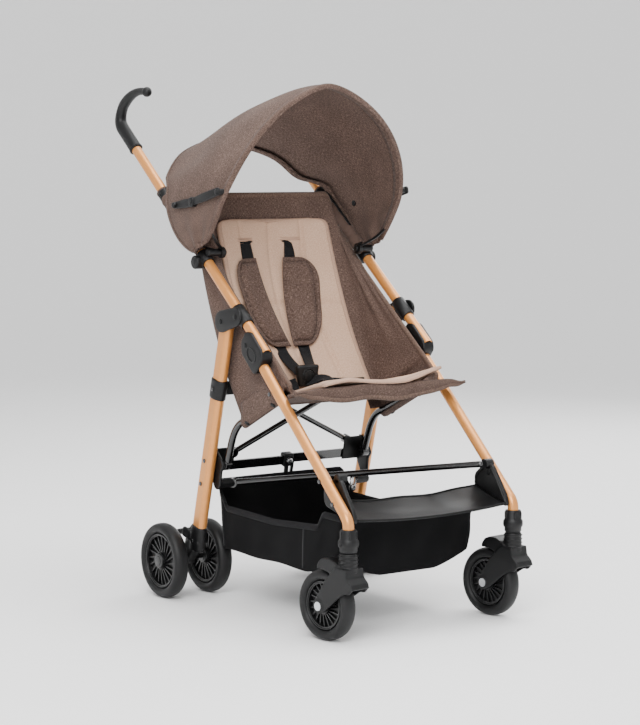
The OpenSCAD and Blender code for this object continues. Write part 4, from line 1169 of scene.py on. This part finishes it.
# %% [markdown]
# ### Harness
# Flat webbing runs from slots in the liner, under the pads, to a buckle between the legs. A lap strap comes
# from each side and a crotch strap from the seat. Each slot has a sewn lip above a dark slit.

# %% Harness
STRAP_W, STRAP_OUT, STRAP_X, SLOT_V = 13, 16.6, 55, 0.74
buckle_at = at(-19, 372, 437)


def strap(name, line, out):
    """A band of webbing along a line. It lies flat against a surface that faces out."""
    line = curve_through(line, 6)
    ways = [way.cross(out).normalized() * STRAP_W * MM for way, side, up in frame_along(line)]

    def place(u, v):
        k = v * (len(line) - 1)
        i = min(int(k), len(line) - 2)
        middle, half = (a[i] + (a[i + 1] - a[i]) * (k - i) for a in (line, ways))
        return middle + half * (2 * u - 1)

    length = sum((b - a).length for a, b in zip(line, line[1:]))
    form = grid_form(8, len(line) * 2, place, (2 * STRAP_W * MM, length))
    return cloth(name, form, "black webbing", "left_frame", 1.8, None)


def oval(form, middle, along, axis, half):
    """A flat oval disc: half holds its half length, half width and height in millimetres."""
    work = bmesh.new()
    bmesh.ops.create_cone(work, cap_ends=True, segments=32, radius1=1, radius2=1, depth=1)
    x, z = Vector(along), Vector(axis).normalized()
    turn = Matrix((x, z.cross(x), z)).transposed().to_4x4()
    size = Matrix.Diagonal((half[0] * MM, half[1] * MM, half[2] * MM, 1))
    bmesh.ops.transform(work, matrix=Matrix.Translation(middle) @ turn @ size, verts=work.verts)
    merge(form, work)


harness = []
for label, s in SIDES:
    top = [off_panel(s * mix(STRAP_X, 26, k / 7) + HANG, mix(SLOT_V, PAD_LOW - 0.04, k / 7),
                     STRAP_OUT - (0 if k else 1.6)) for k in range(8)]
    harness.append(strap("shoulder_strap_" + label, top + [buckle_at + Vector((s * 0.014, 0, 0.004))],
                         back_out))
    lap = [off_panel(s * 116, 0.05, 21.6), off_panel(s * 80, 0.05, 21.6),
           buckle_at + Vector((s * 0.022, 0, -0.016))]
    harness.append(strap("lap_strap_" + label, lap, back_out))
base = at(0, 309, base_z(309))
crotch = [base + Vector((0, 0, 0.0186)), base + Vector((0, 0.030, 0.0326)), buckle_at - Vector((0, 0, 0.012))]
harness.append(strap("crotch_strap", crotch, Vector((0, -1, 1))))
for band in harness:
    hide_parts("harness")
form = bmesh.new()
for s in (-1, 1):
    for v, r in ((SLOT_V + 0.014, 2.3), (SLOT_V + 0.024, 1.4)):
        sweep(form, [off_panel(s * STRAP_X + HANG + 22 * k / 10, v, 14.6) for k in range(-10, 11)],
              [r * math.sqrt(1 - 0.96 * (k / 10) ** 4) for k in range(-10, 11)], 12)
trim("liner_slot_rims", form, "beige binding")
form = bmesh.new()
for s in (-1, 1):
    oval(form, off_panel(s * STRAP_X + HANG, SLOT_V + 0.007, 14.2), (1, 0, 0), back_out, (19, 2.6, 1.6))
trim("liner_slits", form, "black webbing")
print("harness of", len(harness), "straps")

# %% [markdown]
# The buckle is rigid. It sits midway between the two side frames and rides on no body.

# %% Buckle
form = bmesh.new()
work = bmesh.new()
bmesh.ops.create_cube(work, size=1)
bmesh.ops.scale(work, verts=work.verts, vec=Vector((54, 13, 42)) * MM)
for v in work.verts:
    if v.co.z < 0:
        v.co.x *= 0.72
soften(work, work.edges[:], 5.5, 5)
bmesh.ops.translate(work, verts=work.verts, vec=buckle_at)
merge(form, work)
disc(form, buckle_at + Vector((0, -0.0058, 0)), (0, -1, 0), 11, 2.2, 1.0, 36)
ring(form, buckle_at + Vector((0, -0.0066, 0)), (0, -1, 0), 13.5, 1.1)
buckle = piece("harness_buckle", form, "moulded nylon")
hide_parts("buckle")
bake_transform(buckle)
print("buckle made")

# %% [markdown]
# ### Footrest
# The footrest is a band of vinyl stretched between two brackets, hollow in the middle and rolled over at both
# long edges.

# %% Footrest
FOOT_LOW, FOOT_BACK, FOOT_X, FOOT_SAG = Vector((1, 219)), Vector((84, 243)), 167.5, 8


def footrest(u, v):
    p = FOOT_LOW + (FOOT_BACK - FOOT_LOW) * v
    sag = FOOT_SAG * 4 * u * (1 - u) + 5 * math.sin(math.pi * v) * (1 - (2 * u - 1) ** 8)
    slack = 1.2 * math.sin(15 * u + 1.0) * smooth((v - 0.55) / 0.45) * (1 - (2 * u - 1) ** 4)
    return at(mix(-FOOT_X, FOOT_X, u), p.x + slack, p.y - sag + slack)


form = grid_form(72, 18, footrest, (0.34, 0.088))
band = cloth("footrest_band", form, "black vinyl", "left_frame", 2.4, "footrest")
form = bmesh.new()
for v in (0.0, 1.0):
    sweep(form, [footrest(k / 60, v) for k in range(61)], 2.6, 10)
rolls = trim("footrest_rolls", form, "black vinyl")
print("footrest band", round(area_of(band), 4), "square metres")

# %% [markdown]
# ### Basket
# The basket is an open bin of black cloth. A ring of points runs round its rim, which is low at the sides so
# that a hand can reach in, and each point drops down the wall and then runs in over the floor. The walls are
# slack: they bow out a little, with soft folds below the corners.

# %% Basket
RIM_FRONT, RIM_REAR, FLOOR_Y, FLOOR_Z, BELLY = 62, 490, (78, 478), 95, 82
RIM_X, FLOOR_X, CORNER = 150, 148, 12
WALL_SHARE, CORNER_LIFT = 0.6, 30
BIN_MIDDLE = at(0, 280, 200)
HEM = ((62, 215), (128, 216), (150, 189), (290, 180), (455, 184), (472, 204), (490, 232))


def hem_z(y):
    for (y0, z0), (y1, z1) in zip(HEM, HEM[1:]):
        if y <= y1:
            return mix(z0, z1, smooth((y - y0) / (y1 - y0)) if y1 - y0 < 60 else (y - y0) / (y1 - y0))
    return HEM[-1][1]


def bin_ring(t, half, front, rear, corner):
    """A point on a rectangle with round corners: t runs once round from the middle of the front."""
    wide, deep = half - corner, (rear - front) / 2 - corner
    arc = math.pi / 2 * corner
    lengths = [wide, arc, 2 * deep, arc, 2 * wide, arc, 2 * deep, arc, wide]
    go = (t % 1) * sum(lengths)
    x, y, way = 0.0, front, 0.0
    for k, length in enumerate(lengths):
        f = min(go / length, 1) if length else 1
        if k % 2:
            a = way + f * math.pi / 2
            cx, cy = x - corner * math.sin(way), y + corner * math.cos(way)
            nx, ny = cx + corner * math.sin(a), cy - corner * math.cos(a)
            turn = way + math.pi / 2
        else:
            nx, ny, turn = x + math.cos(way) * length * f, y + math.sin(way) * length * f, way
        if go <= length:
            return nx, ny
        go -= length
        x, y, way = nx, ny, turn
    return x, y


def basket(u, v):
    wall = clamp(v / WALL_SHARE)
    x0, y0 = bin_ring(u, RIM_X, RIM_FRONT, RIM_REAR, CORNER)
    x1, y1 = bin_ring(u, FLOOR_X, FLOOR_Y[0], FLOOR_Y[1], CORNER)
    lift = CORNER_LIFT * clamp((abs(x1) - 60) / 88) ** 1.3 * (1 - smooth((y1 - 80) / 110))
    if v <= WALL_SHARE:
        x, y, z = mix(x0, x1, wall), mix(y0, y1, wall), mix(hem_z(y0), FLOOR_Z + 4 + lift, wall)
        bow = math.sin(math.pi * wall)
        corner = abs(math.sin(4 * math.pi * u))
        fold = 2.6 * math.sin(34 * math.pi * u + 2.2 * wall) * bow * (0.35 + 0.65 * corner)
        fold += 1.8 * math.sin(12 * u * math.pi + 5 * wall) * bow
        out = Vector((x / RIM_X, (y - 280) / 210)).normalized()
        x, y = x + out.x * fold * 0.55, y + out.y * fold
        x = clamp(x, -RIM_X, RIM_X)
    else:
        f = (v - WALL_SHARE) / (1 - WALL_SHARE)
        x, y = mix(x1, 0, f), mix(y1, 295, f)
        lift *= 1 - smooth(f * 2.2)
        ripple = 1.5 * math.sin(0.05 * x) * math.sin(0.04 * y)
        z = FLOOR_Z + 4 + lift - (FLOOR_Z + 4 - BELLY) * smooth(f * 1.6) + ripple
    return at(x, y, z)


form = grid_form(176, 40, basket, (1.14, 0.30))
bmesh.ops.remove_doubles(form, verts=form.verts, dist=0.05 * MM)
bin_cloth = cloth("basket_cloth", form, "black basket cloth", "left_frame", 2.0, "basket")


def rim_edge(t):
    p, q = basket(t, 0.0), basket(t, 0.03)
    ahead = basket((t + 0.004) % 1, 0.0) - basket((t - 0.004) % 1, 0.0)
    inward = (q - p).normalized()
    face = ahead.cross(inward).normalized()
    return p, inward, face if face.dot(p - BIN_MIDDLE) > 0 else -face


hem = binding("basket_hem", rim_edge, "black hem tape", "left_frame", (11, 11), 2.0, 220)
for label, s in SIDES:
    for name, t in (("front", 0.188), ("rear", 0.385)):
        spot = t if s > 0 else 1 - t

        def corner_edge(w, spot=spot, s=s):
            p = basket(spot, 0.02 + 0.56 * w)
            side = (basket(spot + 0.003 * s, 0.02 + 0.56 * w) - p).normalized()
            down = basket(spot, 0.04 + 0.56 * w) - p
            face = side.cross(down).normalized()
            return p, side, face if face.dot(p - BIN_MIDDLE) > 0 else -face
        binding("basket_tape_" + name + "_" + label, corner_edge, "black hem tape", "left_frame",
                             (7, 7), 1.6, 24)
print("basket cloth", round(area_of(bin_cloth), 3), "square metres")

# %% [markdown]
# ## Moulded fittings
# The fittings are injection mouldings: plates, bosses and tubes that run into each other with small fillets.
# Drawing each fillet would be slow. Instead the plain forms overlap, a voxel Remesh makes one skin of them,
# and a Smooth modifier rounds the corners where they meet, outside and inside.

# %% Tools for mouldings
CASTER_TURN = math.radians(7.5)


def moulding(name, form, body, node, voxel=1.5, rounds=6):
    """Overlapping forms made into one skin with rounded corners."""
    made = fitting(name, form, body, node=node)
    skin = made.modifiers.new("one skin", "REMESH")
    skin.mode, skin.voxel_size, skin.use_smooth_shade = "VOXEL", voxel * MM, True
    soft = made.modifiers.new("fillets", "SMOOTH")
    soft.factor, soft.iterations = 0.5, rounds


def turned(form, s):
    """Turns a form with the caster about its swivel axis."""
    bmesh.ops.rotate(form, verts=form.verts, cent=at(s * FRAME_X, 0, 0),
                     matrix=Matrix.Rotation(CASTER_TURN, 3, "Z"))


def leg_outline(*points):
    """An outline in the drawing's y and z, from distances along the rear leg and behind it."""
    return [drawn(on_rear_leg(0, along, behind)) for along, behind in points]


print("moulding tools ready")

# %% [markdown]
# ### Casters
# The fork is a stem, two cheeks that reach back to the wheel's axle, a visor in front and a hump over the
# tyre. The hump's underside follows the tyre, so its outline takes points from a circle about the axle. Ribs
# ring the stem, and stay a piece of their own because the remesh would blur them. The wheel trails, and both
# casters stand a little turned, as after rolling round a bend.

# %% Caster forks and sockets
AXLE_Y, AXLE_Z = 55, 64
CHEEK = [(-30, 103), (-28, 111), (-18, 121), (-15, 138), (12, 140), (40, 112), (65, 76), (45, 52), (8, 82),
         (-10, 94), (-22, 94)]


def over_tyre(first, last, count=9):
    """Points just above the tyre, between two angles about the axle."""
    angles = [math.radians(mix(first, last, k / (count - 1))) for k in range(count)]
    return [(AXLE_Y + 67 * math.cos(a), AXLE_Z + 67 * math.sin(a)) for a in angles]


HUMP = [(-4, 134), (4, 141), (14, 147), (28, 152), (44, 152), (55, 147), (61, 138), (62, 131)]
HUMP += over_tyre(86, 138)
VISOR = [(2, 138), (-15, 138), (-18, 122), (-29, 112), (-32, 103), (-26, 102), (-16, 109), (-6, 113),
         (6, 115)]
for label, s in SIDES:
    x = s * FRAME_X
    form = bmesh.new()
    for inside, outside in ((16.5, 21.5), (-16.5, -21.5)):
        plate(form, CHEEK, x + inside, x + outside, 2.0, 4, 3)
        disc(form, at(x + inside, AXLE_Y, AXLE_Z), (outside, 0, 0), 14, 5.6, 2, 40)
    plate(form, HUMP, x - 19.5, x + 19.5, 5, 2, 4)
    plate(form, VISOR, x - 21.5, x + 21.5, 2, 1, 3)
    sweep(form, [at(x, 0, z) for z in (106, 114, 124, 140, 160, 163.8)], (17, 17.4, 17.4, 16.6, 16, 15), 36)
    turned(form, s)
    moulding(label + "_caster_moulding", form, label + "_caster", label + "_caster_fork", 1.3, 4)
    form = bmesh.new()
    for z in (131, 138, 145, 152, 159):
        ring(form, at(x, 0, z), (0, 0, 1), 16.1, 1.5, 36)
    turned(form, s)
    fitting(label + "_caster_ribs", form, label + "_caster")

    form = bmesh.new()
    sweep(form, [at(x, 0, z) for z in (165.2, 167, 173, 176, 179, 185, 188, 190, 202, 205.5)],
          (14.6, 15.8, 16, 18, 18.6, 18.4, 16.8, 15.8, 15.4, 14), 40)
    for a in range(0, 360, 60):
        turn = Vector((math.cos(math.radians(a)), math.sin(math.radians(a)), 0))
        sweep(form, [at(x, 0, z) + turn * 15.4 * MM for z in (189, 191, 200, 203)], [1.0, 1.6, 1.6, 0.8], 8)
    disc(form, at(x, 0, 181) + Vector((s * 17.4 * MM, 0, 0)), (s, 0, 0), 4.2, 2.4, 1.0)
    fitting(label + "_socket_moulding", form, label + "_frame", node=label + "_caster_socket")
print("two caster forks and sockets")

# %% [markdown]
# ### Wheels
# The imported rims already have their spokes. A domed cap closes each hub, and a thin dark disc behind the
# spokes fills the gaps between them: painted shade for the depth of the rim. The foam tyre is a fat ring: an
# oval section spun about the axle, wider than the rim it sits on.

# %% Tyres
TYRE_HALF, TYRE_R, FRONT_R, REAR_R = 15, 10.2, 64, 73


def tyre(name, middle, outer, body, node, s=0):
    """A ring with an oval section about an axle along x."""
    form = bmesh.new()
    bmesh.ops.create_circle(form, cap_ends=False, segments=28, radius=1)
    for v in form.verts:
        c, k = v.co.x, v.co.y
        wide, tall = math.copysign(abs(c) ** 0.85, c), math.copysign(abs(k) ** 0.9, k)
        v.co = Vector((TYRE_HALF * wide, 0, outer - TYRE_R + TYRE_R * tall)) * MM
    bmesh.ops.spin(form, geom=form.edges[:] + form.verts[:], cent=(0, 0, 0), axis=(1, 0, 0),
                   angle=2 * math.pi, steps=96, use_merge=True)
    bmesh.ops.translate(form, verts=form.verts, vec=middle)
    if s:
        turned(form, s)
    made = piece(name, form, "foam tyre", body, 60)
    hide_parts(node)


for label, s in SIDES:
    tyre(label + "_front_foam", at(s * FRAME_X, AXLE_Y, AXLE_Z), FRONT_R, label + "_front_wheel",
         label + "_front_tyre", s)
    for name in (label + "_outer", label + "_inner"):
        low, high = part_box(name + "_tyre")
        tyre(name + "_foam", (low + high) / 2, REAR_R, name + "_wheel", name + "_tyre")
print("six tyres")

# %% Hub caps
for label, s in SIDES:
    for name in ("outer", "inner"):
        low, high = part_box(label + "_" + name + "_tyre")
        middle = (low + high) / 2
        form = bmesh.new()
        for side in (1, -1):
            disc(form, middle + Vector((side * 11.0 * MM, 0, 0)), (side, 0, 0), 15, 3.2, 1.8, 40)
            disc(form, middle + Vector((side * 13.6 * MM, 0, 0)), (side, 0, 0), 9.5, 1.6, 0.9, 36)
            ring(form, middle + Vector((side * 9.5 * MM, 0, 0)), (1, 0, 0), 51.5, 1.5, 72)
        # A thin dark disc fills the gaps between the spokes: painted shade for the depth of the rim
        disc(form, middle - Vector((0.001, 0, 0)), (1, 0, 0), 53, 2, 0, 64)
        fitting(label + "_" + name + "_hub_caps", form, label + "_" + name + "_wheel", "polypropylene rim")
    form = bmesh.new()
    for side in (1, -1):
        disc(form, at(s * FRAME_X + side * 9.5, AXLE_Y, AXLE_Z), (side, 0, 0), 12, 2.2, 1.2, 36)
        ring(form, at(s * FRAME_X + side * 9.5, AXLE_Y, AXLE_Z), (1, 0, 0), 42.5, 1.4, 64)
    # A thin dark disc fills the gaps between the spokes: painted shade for the depth of the rim
    disc(form, at(s * FRAME_X - 1, AXLE_Y, AXLE_Z), (1, 0, 0), 44, 2, 0, 64)
    turned(form, s)
    fitting(label + "_front_hub_caps", form, label + "_front_wheel", "polypropylene rim")
print("hub caps on six wheels")

# %% [markdown]
# ### Rear axle carriers, collars and pedals
# The carrier is a sleeve on the oval leg that runs into a block round the axle. The collar higher up and the
# brake pedal are made the same way. The pedal slopes down behind the leg to a wide pad.

# %% Rear fittings
axle_low, axle_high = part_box("left_outer_tyre")
axle_y, axle_z = drawn((axle_low + axle_high) / 2)
PEDAL_ALONG, LEG_FLAT = 440, 0.66
for label, s in SIDES:
    x = s * FRAME_X
    form = bmesh.new()
    ends = (418, 420, 440, 462, 468)
    sweep(form, [on_rear_leg(x, a) for a in ends], (18.6, 20, 20.5, 20.5, 19.5), 40, LEG_FLAT, rear_back)
    rim = leg_outline((446, -17), (446, 17))
    block = [rim[1], (axle_y + 13, axle_z + 8), (axle_y + 13, axle_z - 9), (axle_y - 13, axle_z - 9), rim[0]]
    plate(form, block, x - 12, x + 12, 3.5, 4, 4)
    for side in (1, -1):
        disc(form, at(x, axle_y, axle_z), (side, 0, 0), 13, 17, 2, 40)
        lug = leg_outline((430, 4), (430, 34), (450, 34), (450, 4))
        plate(form, lug, x + side * 11.2, x + side * 17.6, 1.6, 5, 3)
    sweep(form, [at(x + k, axle_y, axle_z) for k in (-62, -20, 20, 62)], 5, 24)
    moulding(label + "_carrier_moulding", form, label + "_rear_leg_body", label + "_rear_axle", 1.6, 4)

    form = bmesh.new()
    sweep(form, [on_rear_leg(x, a) for a in (115.5, 117, 135, 153, 154.5)], (19, 20.5, 20.8, 20.5, 19), 40,
          LEG_FLAT, rear_back)
    lug = leg_outline((121, -1.6), (121, 1.6), (149, 1.6), (149, -1.6))
    plate(form, lug, s * 128, s * 178, 0.8, 0, 2)
    moulding(label + "_collar_moulding", form, label + "_rear_leg_body", label + "_leg_collar", 1.3, 3)

    form = bmesh.new()
    lever = leg_outline((438, 22), (434, 30), (449, 62), (466, 84), (472, 82), (458, 58), (446, 30))
    plate(form, lever, x - 9, x + 9, 2, 2, 3)
    tread = leg_outline((452, 62), (466, 86), (473, 83), (458, 60))
    plate(form, tread, x - 20, x + 20, 2, 2, 3)
    sweep(form, [on_rear_leg(x + k, PEDAL_ALONG, 29) for k in (-9.6, -8, 8, 9.6)], [5, 6.5, 6.5, 5], 24)
    moulding(label + "_pedal_moulding", form, label + "_brake_pedal_body", label + "_brake_pedal", 1.3, 3)

    form = bmesh.new()
    inner = s * (FRAME_X - 10.2)
    slim = [(258, 11), (262, -6), (272, -26), (282, -36), (296, -30), (324, -34), (334, -28), (334, -16),
            (312, 4), (300, 12)]
    plate(form, leg_outline(*slim), inner - s * 6, inner, 1.8, 4, 3)
    fin = leg_outline((258, -1.5), (258, 1.5), (306, 1.5), (306, -1.5))
    plate(form, fin, s * 130, inner - s * 3, 0.7, 0, 2)
    boss = (322, -24) if s < 0 else (336, -38)
    sweep(form, [on_rear_leg(s * k, *boss) for k in (135, 137, 172, 174)], [7, 8.5, 8.5, 7], 28)
    sweep(form, [on_rear_leg(s * k, 282, -27) for k in (156, 158, 172, 174)], [5, 6.5, 6.5, 5], 28)
    moulding(label + "_bracket_moulding", form, label + "_rear_leg_body", label + "_leg_bracket", 1.3, 3)
print("carriers, collars, pedals and brackets")

# %% [markdown]
# ### Seat tubes
# Each seat tube is bent in two places. The corners of its path are rounded by a curve that leaves one
# straight and joins the next.

# %% Seat tubes


def bent(points, cut):
    """A path whose corners are rounded, each from a cut before it to a cut behind it."""
    out = [points[0]]
    for before, corner, after in zip(points, points[1:], points[2:]):
        a = corner + (before - corner).normalized() * min(cut, (before - corner).length * 0.48)
        b = corner + (after - corner).normalized() * min(cut, (after - corner).length * 0.48)
        out += [a * (1 - t) ** 2 + corner * 2 * t * (1 - t) + b * t * t for t in [k / 10 for k in range(11)]]
    return out + [points[-1]]


for label, s in SIDES:
    path = [on_rear_leg(s * SEAT_TUBE_X, a, b) for a, b in ((282, -27), (198, -36), (164, -88), (84, -182))]
    form = bmesh.new()
    sweep(form, bent(path, 0.05), 7, 24)
    disc(form, path[0] - Vector((s * 0.007, 0, 0)), (s, 0, 0), 9, 14, 1, 28)
    fitting(label + "_seat_tube_bent", form, label + "_seat_tube_body", "black powder coat",
            label + "_seat_tube")
print("two seat tubes")

# %% [markdown]
# ### Brackets beside the footrest
# The bracket is a rounded triangle with a raised rim and a screw, and it holds the end of the footrest band.

# %% Footrest brackets
TRIANGLE = [(-4, 212), (89, 236), (93, 264), (61, 289), (42, 289), (2, 234)]
for label, s in SIDES:
    form = bmesh.new()
    inner = FRAME_X - TUBE_R - 0.4
    plate(form, TRIANGLE, s * 169, s * inner, 2.4, 9, 4)
    middle = Vector((46, 250))
    rim = [at(s * 169.3, *(middle + (Vector(p) - middle) * 0.8)) for p in TRIANGLE]
    loop = curve_through(rim + rim[:2], 6)
    sweep(form, loop[:-6], 1.7, 8)
    disc(form, at(s * 170, 50, 272), (-s, 0, 0), 5.5, 3.0, 1.2)
    disc(form, at(s * 159, 51, 288), (s, 0, 0), 9, inner - 159, 1.5, 32)
    fitting(label + "_footrest_moulding", form, label + "_frame", node=label + "_footrest_bracket")
print("two footrest brackets")

# %% [markdown]
# ### Rivets, screws and small fittings
# Blackened steel rivets hold the tubes to their mouldings. They are turned discs with a rounded edge. A
# sleeve and a knob sit on the middle of the lock bar, and a stop with a thin rod runs along each handle tube.

# %% Rivets and small fittings
RIVET = (4.2, 2.6, 1.4, 24)
for label, s in SIDES:
    x = s * FRAME_X
    form = bmesh.new()
    for y, z in ((234, 421), (75, 279), (35, 243)):
        disc(form, at(s * (FRAME_X + TUBE_R - 0.6), y, z + 3), (s, 0, 0), *RIVET)
        disc(form, at(s * (FRAME_X - TUBE_R + 0.6), y, z + 3), (-s, 0, 0), *RIVET)
    fitting(label + "_leg_rivets", form, label + "_frame", "black powder coat")
    form = bmesh.new()
    for along, behind in ((330, 2), (282, 0), (135, 0)):
        out = 13.4 if along == 135 else 9.6
        disc(form, on_rear_leg(s * (FRAME_X + out), along, behind), (s, 0, 0), *RIVET)
    disc(form, on_rear_leg(s * (FRAME_X + 13), 448, 0), (s, 0, 0), 4.5, 2.4, 1.2, 24)
    fitting(label + "_rear_leg_rivets", form, label + "_rear_leg_body", "black powder coat")
    form = bmesh.new()
    sweep(form, [on_handle(x, a) for a in (448, 449.5, 468.5, 470)], [11.8, 13, 13, 11.8], 32)
    sweep(form, [on_handle(x, a, 13.5) for a in (340, 400, 459)], 2.6, 12)
    disc(form, on_handle(s * (FRAME_X + 12), 459), (s, 0, 0), 4, 2.6, 1.2, 24)
    fitting(label + "_handle_stop", form, label + "_frame")
print("rivets and stops")

# %% Lock bar sleeve
form = bmesh.new()
sleeve = leg_outline((281, -9), (281, 8.5), (307, 8.5), (307, -9))
plate(form, sleeve, -16, 6, 2.5, 3, 3)
tab = leg_outline((300, -8), (300, -3), (322, -6), (322, -10))
plate(form, tab, -12, -3, 1.5, 1.5, 3)
fitting("lock_bar_sleeve", form, "left_lock_bar_body")
form = bmesh.new()
disc(form, on_rear_leg(-5, 294, -8.6), -rear_back, 6.5, 6, 2, 28)
fitting("lock_bar_knob", form, "left_lock_bar_body", "zinc plated steel")
print("lock bar sleeve and knob")
